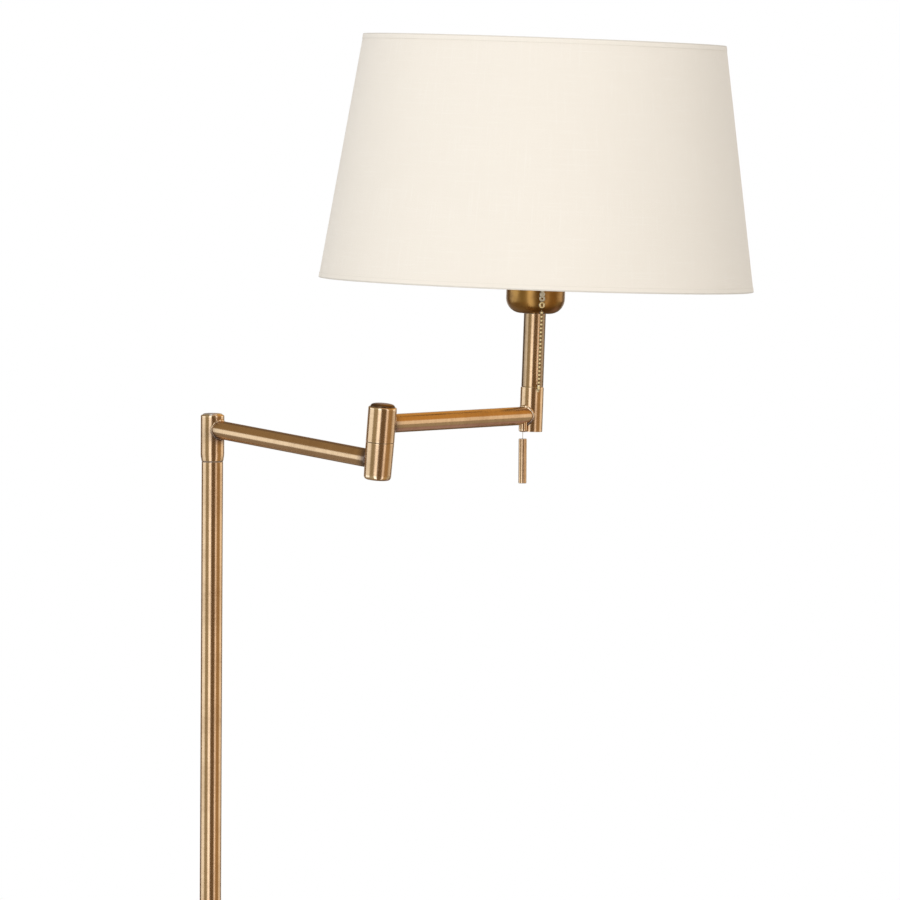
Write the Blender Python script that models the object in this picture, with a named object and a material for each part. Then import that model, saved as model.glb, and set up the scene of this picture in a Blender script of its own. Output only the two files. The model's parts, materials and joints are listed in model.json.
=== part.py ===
"""Adjustable arm floor lamp: a weighted base, a pole, two swinging arms and a shaded head.

Metres, +Z up. The origin is the centre of the base's underside. The arms reach towards
+X, with the elbow swung towards -Y.
"""

import math

import bmesh
import bpy
from mathutils import Matrix, Vector

# Driving dimensions, in metres
GAP = 0.0003  # clearance between neighbouring pieces

BASE_RADIUS = 0.140
BASE_HEIGHT = 0.0185
COVER_WALL = 0.0015
FELT_THICKNESS = 0.002
WEIGHT_THICKNESS = 0.012

POLE_RADIUS = 0.010
POLE_WALL = 0.0011
POLE_JOINT_HEIGHT = 0.600  # where the two pole lengths meet
ARM_HEIGHT = 1.185  # lower arm's axis above the floor, at the pole

SLEEVE_RADIUS = 0.011
SLEEVE_BORE = 0.0096
SLEEVE_BELOW = 0.0300  # sleeve's lower edge below the arm's axis
SLEEVE_ABOVE = 0.0127  # sleeve's upper edge above the arm's axis

ARM_RADIUS = 0.0085
ARM_WALL = 0.001
ARM_LENGTH = 0.2125  # from joint axis to joint axis, both arms
ARM_SIDE_SWING = math.radians(42.5)  # lower arm swung from +X towards -Y
ARM_DROOP = math.radians(5.5)  # the load pulls the lower arm down by this angle
ELBOW_TURN = math.radians(92.2)  # upper arm turned back from the lower arm's line

ELBOW_RADIUS = 0.013
ELBOW_BORE = 0.0114
ELBOW_SEAM = 0.0165  # above the lower arm's axis, half of the arms' spacing
ELBOW_BELOW = 0.0343  # length of the lower half
ELBOW_ABOVE = 0.0322  # length of the upper half, without its domed cap

HEAD_LEAN = math.radians(1.65)  # head's axis leans towards +X
HEAD_SLEEVE_RADIUS = 0.0108
HEAD_SLEEVE_BORE = 0.0096
HEAD_SLEEVE_BELOW = 0.0150
HEAD_SLEEVE_ABOVE = 0.0265
HEAD_TUBE_RADIUS = 0.0102
HEAD_TUBE_BORE = 0.0090
CUP_BOTTOM = 0.0950  # heights in the head are above the upper arm's axis
CUP_TOP = 0.1200
CUP_RADIUS = 0.0273
CUP_WALL = 0.0012
CUP_CORNER = 0.0140

HOLDER_RADIUS = 0.0195
HOLDER_BOTTOM = 0.1010
HOLDER_SPLIT = 0.1320
HOLDER_TOP = 0.1720
FITTER_HEIGHT = 0.1500
BULB_CAP_RADIUS = 0.0131
BULB_GLOBE_RADIUS = 0.0300
BULB_TOP = 0.2560

SHADE_BOTTOM = 0.1210
SHADE_TOP = 0.3495
SHADE_BOTTOM_RADIUS = 0.2020
SHADE_TOP_RADIUS = 0.1683
SHADE_WALL = 0.0012
RING_WIRE = 0.0015

CHAIN_SIDE = 0.00575  # chain lies this far to +X of the head's axis
CHAIN_FRONT_TOP = 0.0308  # and this far in front of it, at the clasp
CHAIN_FRONT_END = 0.0132  # and here at its lower end
CHAIN_TOP = 0.0985
CHAIN_END = 0.0295
BEAD_RADIUS = 0.0016
BEAD_COUNT = 19
LINK_RADIUS = 0.0004
THREAD_RADIUS = 0.00025
THREAD_HOLE = 0.0009
THREAD_HOLE_HEIGHT = 0.0235
GUIDE_PLACE = Vector((-0.0075, -0.0131))
GUIDE_RADIUS = 0.0039
GUIDE_BORE = 0.0016
PULL_DROP = 0.0063  # bare thread between the guide and the bar
PULL_BAR_RADIUS = 0.0038
PULL_BAR_LENGTH = 0.0415

WIRE_HOLE = 0.0060  # hole that lets the lamp's flex pass from a joint into an arm
STUD_RADIUS = 0.0050
STUD_BORE = 0.0035

ROUND = 24  # facets round a tube
FINE = 48  # facets round the shade and the base

for leftover in list(bpy.data.objects):
    bpy.data.objects.remove(leftover, do_unlink=True)


# Finishes
def finish(name, colour, roughness, metallic):
    material = bpy.data.materials.new(name)
    material.use_nodes = True
    shader = material.node_tree.nodes["Principled BSDF"]
    shader.inputs["Base Color"].default_value = (*colour, 1.0)
    shader.inputs["Roughness"].default_value = roughness
    shader.inputs["Metallic"].default_value = metallic
    material.diffuse_color = (*colour, 1.0)
    return material


brushed_brass = finish("brushed_brass", (0.49, 0.30, 0.15), 0.34, 1.0)
aged_brass = finish("aged_brass", (0.34, 0.19, 0.07), 0.42, 1.0)
cast_iron = finish("cast_iron", (0.09, 0.09, 0.09), 0.75, 0.8)
zinc_steel = finish("zinc_steel", (0.55, 0.55, 0.56), 0.38, 1.0)
green_felt = finish("felt", (0.05, 0.05, 0.05), 0.95, 0.0)
black_plastic = finish("black_plastic", (0.02, 0.02, 0.02), 0.40, 0.0)
white_nylon = finish("white_nylon", (0.85, 0.83, 0.80), 0.35, 0.0)
white_wire = finish("white_wire", (0.80, 0.80, 0.78), 0.45, 0.0)
shade_fabric = finish("shade_fabric", (0.90, 0.86, 0.78), 0.85, 0.0)
opal_glass = finish("opal_glass", (0.92, 0.92, 0.90), 0.20, 0.0)


# Frames of the joints: local +X runs along an arm, local +Z along a joint's axis
def shift(x=0.0, y=0.0, z=0.0):
    return Matrix.Translation((x, y, z))


def turn(angle, axis):
    return Matrix.Rotation(angle, 4, axis)


arm_root = shift(z=ARM_HEIGHT)
lower_arm = arm_root @ turn(-ARM_SIDE_SWING, "Z") @ turn(ARM_DROOP, "Y")
elbow = lower_arm @ shift(x=ARM_LENGTH)
upper_arm = elbow @ shift(z=2 * ELBOW_SEAM) @ turn(ELBOW_TURN, "Z")
head_point = (upper_arm @ shift(x=ARM_LENGTH)).to_translation()
head = Matrix.Translation(head_point) @ turn(HEAD_LEAN, "Y")
guide_mouth = head @ Vector((GUIDE_PLACE.x, GUIDE_PLACE.y, -HEAD_SLEEVE_BELOW))
pull_hang = Matrix.Translation(guide_mouth)

joints = {}


def joint(name, frame):
    empty = bpy.data.objects.new(name, None)
    empty.empty_display_size = 0.03
    empty.matrix_world = frame
    bpy.context.collection.objects.link(empty)
    joints[name] = frame
    return empty


pole_swivel = joint("pole_swivel_axis", arm_root)
elbow_swivel = joint("elbow_swivel_axis", elbow)
switch_slide = joint("switch_slide_axis", head)
bar_pivot = joint("bar_pivot_axis", pull_hang)


# Modelling tools
def add(name, mesh, material, frame, parent=None):
    """Link a new object, placed by its frame and held by its joint's empty."""
    piece = bpy.data.objects.new(name, mesh)
    bpy.context.collection.objects.link(piece)
    mesh.materials.append(material)
    if parent is None:
        piece.matrix_world = frame
    else:
        piece.parent = parent
        piece.matrix_basis = joints[parent.name].inverted() @ frame
    return piece


def turned(name, outline, material, frame, parent=None, facets=ROUND):
    """Turn a closed outline of (radius, height) points about local Z.

    A side of the outline that lies on the axis makes no surface.
    """
    shape = bmesh.new()
    points = [shape.verts.new((radius, 0.0, height)) for radius, height in outline]
    pairs = zip(points, points[1:] + points[:1])
    edges = [shape.edges.new(pair) for pair in pairs if max(v.co.x for v in pair) > 1e-7]
    bmesh.ops.spin(
        shape,
        geom=points + edges,
        cent=(0, 0, 0),
        axis=(0, 0, 1),
        angle=math.tau,
        steps=facets,
        use_merge=True,
    )
    bmesh.ops.remove_doubles(shape, verts=shape.verts, dist=1e-7)
    bmesh.ops.recalc_face_normals(shape, faces=shape.faces)
    mesh = bpy.data.meshes.new(name)
    shape.to_mesh(mesh)
    shape.free()
    mesh.shade_smooth()
    mesh.set_sharp_from_angle(angle=math.radians(35))
    return add(name, mesh, material, frame, parent)


def arc(radius, height, size, start, stop, steps=4):
    """Points of an arc about (radius, height), from one angle in degrees to another."""
    angles = [math.radians(start + (stop - start) * i / steps) for i in range(steps + 1)]
    return [(radius + size * math.cos(a), height + size * math.sin(a)) for a in angles]


def side(radius, low, high, edge):
    """A turned piece's outer side, its corners broken by a small chamfer if edge is given."""
    if not edge:
        return [(radius, low), (radius, high)]
    return [(radius - edge, low), (radius, low + edge), (radius, high - edge), (radius - edge, high)]


def tube(name, radius, bore, low, high, material, frame, parent=None, edge=0.0, facets=ROUND):
    """A plain tube along local Z."""
    outline = [(bore, low), *side(radius, low, high, edge), (bore, high)]
    return turned(name, outline, material, frame, parent, facets)


def disc(name, radius, low, high, material, frame, parent=None, edge=0.0, facets=ROUND):
    """A plain solid disc or rod along local Z."""
    outline = [(0, low), *side(radius, low, high, edge), (0, high)]
    return turned(name, outline, material, frame, parent, facets)


def hexagon_nut(name, across_flats, bore, low, high, material, frame, parent=None):
    """A hexagon nut: a six-sided prism with a round hole."""
    corner = across_flats / math.sqrt(3)
    nut = disc(name, corner, low, high, material, frame, parent, facets=6)
    nut.data.shade_flat()
    hole = disc(name + "_hole", bore, low - 0.001, high + 0.001, material, frame, parent, facets=24)
    cut(nut, hole)
    return nut


def modify(piece, tool, operation):
    """Add an exact Boolean, with its tool kept out of the model."""
    boolean = piece.modifiers.new(operation.lower() + "_" + tool.name, "BOOLEAN")
    boolean.operation = operation
    boolean.solver = "EXACT"
    boolean.object = tool
    tool.hide_render = True
    tool.display_type = "WIRE"


def cut(piece, tool):
    modify(piece, tool, "DIFFERENCE")


def notch(name, post_radius, frame):
    """A cutter that shapes a tube's end to a round post, a gap away from it."""
    reach = 0.08
    return disc(name, post_radius + GAP, -reach, reach, aged_brass, frame)


def aim(start, end):
    """A frame at one point with local Z towards another."""
    return Matrix.Translation(start) @ (end - start).to_track_quat("Z", "Y").to_matrix().to_4x4()


def ring(name, radius, height, wire, material, frame, parent=None):
    """A wire ring, turned from a small hexagon."""
    outline = arc(radius, height, wire, 0, 300, 5)
    return turned(name, outline, material, frame, parent, FINE)


# Base: felt, iron weight and a pressed cover, clamped by a threaded stud
weight_low = FELT_THICKNESS + GAP
weight_high = weight_low + WEIGHT_THICKNESS
cover_low = FELT_THICKNESS + GAP
floor_frame = Matrix.Identity(4)
weight_radius = BASE_RADIUS - COVER_WALL - 2 * GAP
recess_radius = 0.016
recess_high = weight_low + 0.0065


def base_cover():
    """A shallow pressed dish with a soft outer corner and a crown that rises to the pole."""
    crown = 0.0025
    rim_top = BASE_HEIGHT - crown
    corner = 0.006
    inner = BASE_RADIUS - COVER_WALL
    hole = STUD_RADIUS + GAP
    outline = [(inner, cover_low), (BASE_RADIUS, cover_low)]
    outline += arc(BASE_RADIUS - corner, rim_top - corner, corner, 0, 82, 4)
    outline += [(0.090, BASE_HEIGHT - 0.0007), (0.040, BASE_HEIGHT), (hole, BASE_HEIGHT)]
    outline += [(hole, BASE_HEIGHT - COVER_WALL), (0.040, BASE_HEIGHT - COVER_WALL)]
    outline += [(0.090, BASE_HEIGHT - COVER_WALL - 0.0007)]
    inside = arc(BASE_RADIUS - corner, rim_top - corner, corner - COVER_WALL, 82, 0, 4)
    return turned("base_cover", outline + inside, brushed_brass, floor_frame, facets=FINE)


felt = disc("base_felt_pad", BASE_RADIUS - 0.003, 0, FELT_THICKNESS, green_felt, floor_frame, facets=FINE)
weight_outline = [
    (STUD_RADIUS + GAP, recess_high),
    (recess_radius, recess_high),
    (recess_radius, weight_low),
    (weight_radius - 0.001, weight_low),
    (weight_radius, weight_low + 0.001),
    (weight_radius, weight_high - 0.004),
    (weight_radius - 0.004, weight_high - 0.0005),
    (weight_radius - 0.010, weight_high),
    (STUD_RADIUS + GAP, weight_high),
]
weight = turned("base_weight", weight_outline, cast_iron, floor_frame, facets=FINE)
cover = base_cover()

# The flex leaves at the back, through a channel under the weight and a gland in the rim
gland_radius = 0.0042
gland_bore = 0.0019
gland_height = 0.0080
backwards = shift(z=gland_height) @ turn(-math.pi / 2, "X")
channel = disc("flex_channel", gland_radius + 0.0012, 0.010, BASE_RADIUS + 0.01, cast_iron, backwards)
cut(weight, channel)
gland_hole = disc("gland_hole", gland_radius + GAP, 0.120, BASE_RADIUS + 0.01, cast_iron, backwards)
cut(cover, gland_hole)
gland_outline = [
    (gland_bore, BASE_RADIUS - 0.012),
    (gland_radius, BASE_RADIUS - 0.012),
    (gland_radius, BASE_RADIUS + GAP),
    (gland_radius + 0.0012, BASE_RADIUS + GAP),
    (gland_radius + 0.0006, BASE_RADIUS + 0.0024),
    (gland_bore, BASE_RADIUS + 0.0030),
]
turned("cable_gland", gland_outline, black_plastic, backwards, facets=24)

washer_low = recess_high - 0.0018
tube("base_washer", 0.0135, STUD_RADIUS + GAP, washer_low, recess_high - GAP, zinc_steel, floor_frame)
nut_high = washer_low - GAP
hexagon_nut("base_nut", 0.0170, STUD_RADIUS + GAP, weight_low + 0.0003, nut_high, zinc_steel, floor_frame)
stud_high = BASE_HEIGHT + 0.020
tube("base_stud", STUD_RADIUS, STUD_BORE, weight_low, stud_high, zinc_steel, floor_frame, facets=24)

# Pole: two lengths of tube on a threaded foot plug, joined by an inner coupler
pole_bore = POLE_RADIUS - POLE_WALL
pole_low = BASE_HEIGHT + GAP
pole_high = ARM_HEIGHT - SLEEVE_BELOW - 0.0012
collar_outline = [
    (POLE_RADIUS + GAP, pole_low),
    (0.0165, pole_low),
    (0.0165, pole_low + 0.004),
    *arc(0.0145, pole_low + 0.006, 0.002, 0, 90, 3),
    (POLE_RADIUS + 0.0012, pole_low + 0.009),
    (POLE_RADIUS + GAP, pole_low + 0.009),
]
turned("pole_collar", collar_outline, brushed_brass, floor_frame)
plug_high = pole_low + 0.022
tube("pole_foot_plug", pole_bore - GAP, STUD_RADIUS + GAP, pole_low, plug_high, aged_brass, floor_frame)
joint_low = POLE_JOINT_HEIGHT - GAP / 2
joint_high = POLE_JOINT_HEIGHT + GAP / 2
tube("pole_lower", POLE_RADIUS, pole_bore, pole_low, joint_low, brushed_brass, floor_frame)
tube("pole_upper", POLE_RADIUS, pole_bore, joint_high, pole_high, brushed_brass, floor_frame)
coupler_half = 0.035
tube(
    "pole_coupler",
    pole_bore - GAP,
    pole_bore - 0.0022,
    POLE_JOINT_HEIGHT - coupler_half,
    POLE_JOINT_HEIGHT + coupler_half,
    aged_brass,
    floor_frame,
)

# Pole spindle: pressed into the pole, it carries the swinging sleeve's web under a nut
web_low = -0.0135
web_high = -0.0110
spindle_outline = [
    (STUD_BORE, -0.0560),
    (pole_bore - GAP, -0.0560),
    (pole_bore - GAP, -SLEEVE_BELOW),
    (SLEEVE_BORE - GAP, -SLEEVE_BELOW),
    (SLEEVE_BORE - GAP, web_low - GAP),
    (STUD_RADIUS, web_low - GAP),
    (STUD_RADIUS, -0.0062),
    (STUD_BORE, -0.0062),
]
turned("pole_spindle", spindle_outline, zinc_steel, arm_root)
tube(
    "pole_friction_washer",
    POLE_RADIUS - 0.0001,
    pole_bore,
    -SLEEVE_BELOW - 0.0009,
    -SLEEVE_BELOW - GAP,
    black_plastic,
    arm_root,
)

# Swivel sleeve on top of the pole: a tube with an inner web, a tapered skirt and a cap
sleeve_edge = 0.0012
sleeve_outline = [
    (SLEEVE_BORE, -SLEEVE_BELOW),
    (SLEEVE_RADIUS - 0.0008, -SLEEVE_BELOW),
    (SLEEVE_RADIUS, -SLEEVE_BELOW + 0.0055),
    *arc(SLEEVE_RADIUS - sleeve_edge, SLEEVE_ABOVE - sleeve_edge, sleeve_edge, 0, 90, 3),
    (SLEEVE_BORE, SLEEVE_ABOVE),
    (SLEEVE_BORE, web_high),
    (STUD_RADIUS + GAP, web_high),
    (STUD_RADIUS + GAP, web_low),
    (SLEEVE_BORE, web_low),
]
sleeve = turned("pole_sleeve", sleeve_outline, brushed_brass, arm_root, pole_swivel)
along_lower = lower_arm @ turn(math.pi / 2, "Y")
lower_wire_hole = disc("lower_wire_hole", WIRE_HOLE, 0.005, ARM_LENGTH - 0.005, aged_brass, along_lower)
cut(sleeve, lower_wire_hole)
cap_outline = [
    (0, SLEEVE_ABOVE - 0.0020),
    (SLEEVE_BORE - GAP, SLEEVE_ABOVE - 0.0020),
    (SLEEVE_BORE - GAP, SLEEVE_ABOVE),
    (0.0086, SLEEVE_ABOVE + 0.0007),
    (0.0050, SLEEVE_ABOVE + 0.0014),
    (0, SLEEVE_ABOVE + 0.0017),
]
turned("pole_sleeve_cap", cap_outline, brushed_brass, arm_root, pole_swivel)
spindle_nut_high = -0.0068
hexagon_nut(
    "pole_spindle_nut",
    0.0150,
    STUD_RADIUS + GAP,
    web_high + GAP,
    spindle_nut_high,
    zinc_steel,
    arm_root,
    pole_swivel,
)

# Lower arm: a tube with both ends cut round to fit the sleeve and the elbow
lower_tube = tube(
    "lower_arm_tube",
    ARM_RADIUS,
    ARM_RADIUS - ARM_WALL,
    0.003,
    ARM_LENGTH - 0.003,
    brushed_brass,
    along_lower,
    pole_swivel,
)
sleeve_notch = notch("sleeve_notch", SLEEVE_RADIUS, arm_root)
elbow_notch = notch("elbow_notch", ELBOW_RADIUS, elbow)
cut(lower_tube, sleeve_notch)
cut(lower_tube, elbow_notch)

# Elbow: the lower half is a cup that holds a hollow spindle, the upper half turns on it
half_low = ELBOW_SEAM - ELBOW_BELOW
half_high = ELBOW_SEAM + ELBOW_ABOVE
seam_half = 0.0004
corner = 0.0032
elbow_edge = 0.0013
lower_half_outline = [
    (0, half_low),
    *arc(ELBOW_RADIUS - corner, half_low + corner, corner, -90, 0, 5),
    (ELBOW_RADIUS, ELBOW_SEAM - seam_half - 0.0003),
    (ELBOW_RADIUS - 0.0003, ELBOW_SEAM - seam_half),
    (ELBOW_BORE, ELBOW_SEAM - seam_half),
    (ELBOW_BORE, half_low + 0.0032),
    (ELBOW_BORE - 0.002, half_low + 0.0022),
    (0, half_low + 0.0022),
]
lower_half = turned("elbow_lower_half", lower_half_outline, brushed_brass, elbow, pole_swivel)
cut(lower_half, lower_wire_hole)
neck_high = ELBOW_SEAM + 0.0112
elbow_spindle_outline = [
    (STUD_BORE, ELBOW_SEAM - 0.0046),
    (ELBOW_BORE - GAP, ELBOW_SEAM - 0.0046),
    (ELBOW_BORE - GAP, ELBOW_SEAM - 0.0007),
    (STUD_RADIUS, ELBOW_SEAM - 0.0007),
    (STUD_RADIUS, neck_high),
    (STUD_BORE, neck_high),
]
turned("elbow_spindle", elbow_spindle_outline, zinc_steel, elbow, pole_swivel)
tube(
    "elbow_friction_washer",
    0.0108,
    STUD_RADIUS + GAP,
    ELBOW_SEAM - 0.0004,
    ELBOW_SEAM + 0.0004,
    black_plastic,
    elbow,
    pole_swivel,
)
elbow_web_low = ELBOW_SEAM + 0.0007
elbow_web_high = elbow_web_low + 0.0030
spring_high = elbow_web_high + 0.0011
tube(
    "elbow_spring_washer",
    0.0092,
    STUD_RADIUS + GAP,
    elbow_web_high + GAP,
    spring_high,
    zinc_steel,
    elbow,
    pole_swivel,
)
hexagon_nut(
    "elbow_nut",
    0.0160,
    STUD_RADIUS + GAP,
    spring_high + GAP,
    spring_high + GAP + 0.0042,
    zinc_steel,
    elbow,
    pole_swivel,
)
upper_half_outline = [
    (STUD_RADIUS + GAP, elbow_web_low),
    (ELBOW_BORE, elbow_web_low),
    (ELBOW_BORE, ELBOW_SEAM + seam_half),
    (ELBOW_RADIUS - 0.0003, ELBOW_SEAM + seam_half),
    (ELBOW_RADIUS, ELBOW_SEAM + seam_half + 0.0003),
    *arc(ELBOW_RADIUS - elbow_edge, half_high - elbow_edge, elbow_edge, 0, 90, 3),
    (ELBOW_BORE, half_high),
    (ELBOW_BORE, elbow_web_high),
    (STUD_RADIUS + GAP, elbow_web_high),
]
upper_half = turned("elbow_upper_half", upper_half_outline, brushed_brass, elbow, elbow_swivel)
along_upper = upper_arm @ turn(math.pi / 2, "Y")
upper_wire_hole = disc("upper_wire_hole", WIRE_HOLE, 0.005, ARM_LENGTH - 0.005, aged_brass, along_upper)
cut(upper_half, upper_wire_hole)
elbow_cap_outline = [
    (0, half_high - 0.0024),
    (ELBOW_BORE - GAP, half_high - 0.0024),
    (ELBOW_BORE - GAP, half_high - 0.0004),
    (ELBOW_BORE - 0.0010, half_high + 0.0006),
    (0.0080, half_high + 0.0020),
    (0.0045, half_high + 0.0031),
    (0, half_high + 0.0035),
]
turned("elbow_cap", elbow_cap_outline, aged_brass, elbow, elbow_swivel)

# Upper arm and the sleeve that it carries
upper_tube = tube(
    "upper_arm_tube",
    ARM_RADIUS,
    ARM_RADIUS - ARM_WALL,
    0.003,
    ARM_LENGTH - 0.003,
    brushed_brass,
    along_upper,
    elbow_swivel,
)
head_notch = notch("head_notch", HEAD_SLEEVE_RADIUS, head)
guide_frame = head @ shift(GUIDE_PLACE.x, GUIDE_PLACE.y)
thread_outlet = disc("thread_outlet", GUIDE_BORE, -0.0150, -0.0020, aged_brass, guide_frame, facets=16)
cut(upper_tube, elbow_notch)
cut(upper_tube, head_notch)
cut(upper_tube, thread_outlet)

head_sleeve = tube(
    "head_sleeve",
    HEAD_SLEEVE_RADIUS,
    HEAD_SLEEVE_BORE,
    -HEAD_SLEEVE_BELOW,
    HEAD_SLEEVE_ABOVE,
    brushed_brass,
    head,
    elbow_swivel,
    edge=0.0004,
)
hole_angle = math.atan2(-0.0099, 0.0054)
towards_hole = head @ shift(z=THREAD_HOLE_HEIGHT) @ turn(hole_angle, "Z") @ turn(math.pi / 2, "Y")
thread_hole = disc("thread_hole", THREAD_HOLE, 0.005, 0.015, aged_brass, towards_hole, facets=16)
cut(head_sleeve, upper_wire_hole)
cut(head_sleeve, thread_hole)
disc(
    "head_sleeve_plug",
    HEAD_SLEEVE_BORE - GAP,
    -HEAD_SLEEVE_BELOW,
    -HEAD_SLEEVE_BELOW + 0.0025,
    brushed_brass,
    head,
    elbow_swivel,
    edge=0.0003,
)
guide_outline = [
    (GUIDE_BORE, -0.0040),
    (GUIDE_BORE, -HEAD_SLEEVE_BELOW + 0.0004),
    (GUIDE_BORE + 0.0004, -HEAD_SLEEVE_BELOW),
    *arc(GUIDE_RADIUS - 0.0018, -HEAD_SLEEVE_BELOW + 0.0018, 0.0018, -90, 0, 2),
    (GUIDE_RADIUS, -0.0040),
]
guide = turned("thread_guide", guide_outline, brushed_brass, guide_frame, elbow_swivel)
arm_notch = disc("arm_notch", ARM_RADIUS + GAP, 0.10, ARM_LENGTH + 0.02, aged_brass, along_upper)
cut(guide, arm_notch)
coupler_bore = 0.0074
head_coupler_outline = [
    (coupler_bore, 0.0080),
    (HEAD_SLEEVE_BORE - GAP, 0.0080),
    (HEAD_SLEEVE_BORE - GAP, HEAD_SLEEVE_ABOVE),
    (HEAD_TUBE_BORE - GAP, HEAD_SLEEVE_ABOVE),
    (HEAD_TUBE_BORE - GAP, 0.0400),
    (coupler_bore, 0.0400),
]
head_coupler = turned("head_coupler", head_coupler_outline, aged_brass, head, elbow_swivel)
cut(head_coupler, thread_hole)

# Head: tube, cup and lampholder, drawn together by a threaded nipple
tube_high = CUP_BOTTOM - GAP
tube(
    "head_tube",
    HEAD_TUBE_RADIUS,
    HEAD_TUBE_BORE,
    HEAD_SLEEVE_ABOVE + GAP,
    tube_high,
    brushed_brass,
    head,
    elbow_swivel,
)
tube(
    "head_tube_plug",
    HEAD_TUBE_BORE - GAP,
    STUD_RADIUS + GAP,
    tube_high - 0.012,
    tube_high,
    aged_brass,
    head,
    elbow_swivel,
)
tube("head_nipple", STUD_RADIUS, STUD_BORE, 0.0850, 0.1050, zinc_steel, head, elbow_swivel, facets=24)
cup_inner = CUP_RADIUS - CUP_WALL
cup_floor = CUP_BOTTOM + CUP_WALL
cup_outline = [
    (STUD_RADIUS + GAP, CUP_BOTTOM),
    *arc(CUP_RADIUS - CUP_CORNER, CUP_BOTTOM + CUP_CORNER, CUP_CORNER, -90, 0, 6),
    (CUP_RADIUS, CUP_TOP),
    (cup_inner, CUP_TOP),
    *arc(CUP_RADIUS - CUP_CORNER, CUP_BOTTOM + CUP_CORNER, CUP_CORNER - CUP_WALL, 0, -90, 6),
    (STUD_RADIUS + GAP, cup_floor),
]
turned("head_cup", cup_outline, aged_brass, head, elbow_swivel, facets=36)
hexagon_nut(
    "head_locknut",
    0.0170,
    STUD_RADIUS + GAP,
    cup_floor + GAP,
    cup_floor + 0.0042,
    zinc_steel,
    head,
    elbow_swivel,
)

# Lampholder: a base shell with the pull switch's side boss, and a threaded body
holder_outline = [
    (STUD_RADIUS + GAP, HOLDER_BOTTOM),
    *arc(HOLDER_RADIUS - 0.004, HOLDER_BOTTOM + 0.004, 0.004, -90, 0, 4),
    (HOLDER_RADIUS, HOLDER_SPLIT),
    (HOLDER_RADIUS - 0.002, HOLDER_SPLIT),
    (HOLDER_RADIUS - 0.002, HOLDER_BOTTOM + 0.003),
    (STUD_RADIUS + GAP, HOLDER_BOTTOM + 0.003),
]
holder_base = turned("lampholder_base", holder_outline, black_plastic, head, elbow_swivel)
boss_angle = math.atan2(-CHAIN_FRONT_TOP, CHAIN_SIDE)
boss_reach = math.hypot(CHAIN_SIDE, CHAIN_FRONT_TOP)
boss_low = 0.1225
boss_high = 0.1305
boss_frame = head @ turn(boss_angle, "Z")


def switch_boss():
    """A round-ended arm that carries the switch's pull out past the cup's rim."""
    half_width = 0.0038
    start = HOLDER_RADIUS - 0.0015
    outline = [(start, -half_width)]
    for i in range(9):
        angle = math.radians(-90 + 180 * i / 8)
        outline.append((boss_reach + half_width * math.cos(angle), half_width * math.sin(angle)))
    outline.append((start, half_width))
    shape = bmesh.new()
    face = shape.faces.new([shape.verts.new((x, y, boss_low)) for x, y in outline])
    grown = bmesh.ops.extrude_face_region(shape, geom=[face])
    lifted = [item for item in grown["geom"] if isinstance(item, bmesh.types.BMVert)]
    bmesh.ops.translate(shape, verts=lifted, vec=(0, 0, boss_high - boss_low))
    bmesh.ops.recalc_face_normals(shape, faces=shape.faces)
    mesh = bpy.data.meshes.new("switch_boss")
    shape.to_mesh(mesh)
    shape.free()
    return add("switch_boss", mesh, black_plastic, boss_frame)


modify(holder_base, switch_boss(), "UNION")
stub_radius = 0.0012
stub_bore = disc(
    "stub_bore",
    stub_radius + 0.0008,
    boss_low - 0.001,
    boss_high + 0.001,
    black_plastic,
    boss_frame @ shift(x=boss_reach),
    facets=20,
)
cut(holder_base, stub_bore)
body_bore = 0.0160
holder_body_outline = [
    (body_bore, HOLDER_SPLIT - 0.006),
    (HOLDER_RADIUS - 0.002 - GAP, HOLDER_SPLIT - 0.006),
    (HOLDER_RADIUS - 0.002 - GAP, HOLDER_SPLIT + GAP),
    (HOLDER_RADIUS, HOLDER_SPLIT + GAP),
    (HOLDER_RADIUS, HOLDER_TOP - 0.001),
    (HOLDER_RADIUS - 0.001, HOLDER_TOP),
    (body_bore, HOLDER_TOP),
]
turned("lampholder_body", holder_body_outline, black_plastic, head, elbow_swivel)
disc(
    "contact_block",
    body_bore - GAP,
    HOLDER_SPLIT - 0.004,
    HOLDER_SPLIT + 0.008,
    white_nylon,
    head,
    elbow_swivel,
)
shell_bore = BULB_CAP_RADIUS + 2 * GAP
tube(
    "screw_shell",
    shell_bore + 0.0005,
    shell_bore,
    HOLDER_SPLIT + 0.008 + GAP,
    HOLDER_TOP - 0.004,
    brushed_brass,
    head,
    elbow_swivel,
)

# Bulb: metal screw cap and an opal glass globe
cap_low = HOLDER_SPLIT + 0.0090
cap_high = HOLDER_TOP + 0.0010
bulb_cap_outline = [
    (0, cap_low),
    (0.0045, cap_low),
    (0.0050, cap_low + 0.0020),
    (0.0105, cap_low + 0.0060),
    (BULB_CAP_RADIUS, cap_low + 0.0075),
    (BULB_CAP_RADIUS, cap_high),
    (0, cap_high),
]
turned("bulb_cap", bulb_cap_outline, zinc_steel, head, elbow_swivel)


def bulb_outline(inset):
    """The glass from its neck, out round the globe and over its crown."""
    centre = BULB_TOP - BULB_GLOBE_RADIUS
    globe = BULB_GLOBE_RADIUS - inset
    neck = BULB_CAP_RADIUS - 0.0004 - inset
    low = cap_high + GAP
    flare = [(neck, low), (neck, low + 0.006), (neck + 0.004, low + 0.018)]
    return flare + arc(0, centre, globe, -42, 90, 8)


glass_outline = bulb_outline(0) + bulb_outline(0.0009)[::-1]
turned("bulb_glass", glass_outline, opal_glass, head, elbow_swivel)

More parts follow.
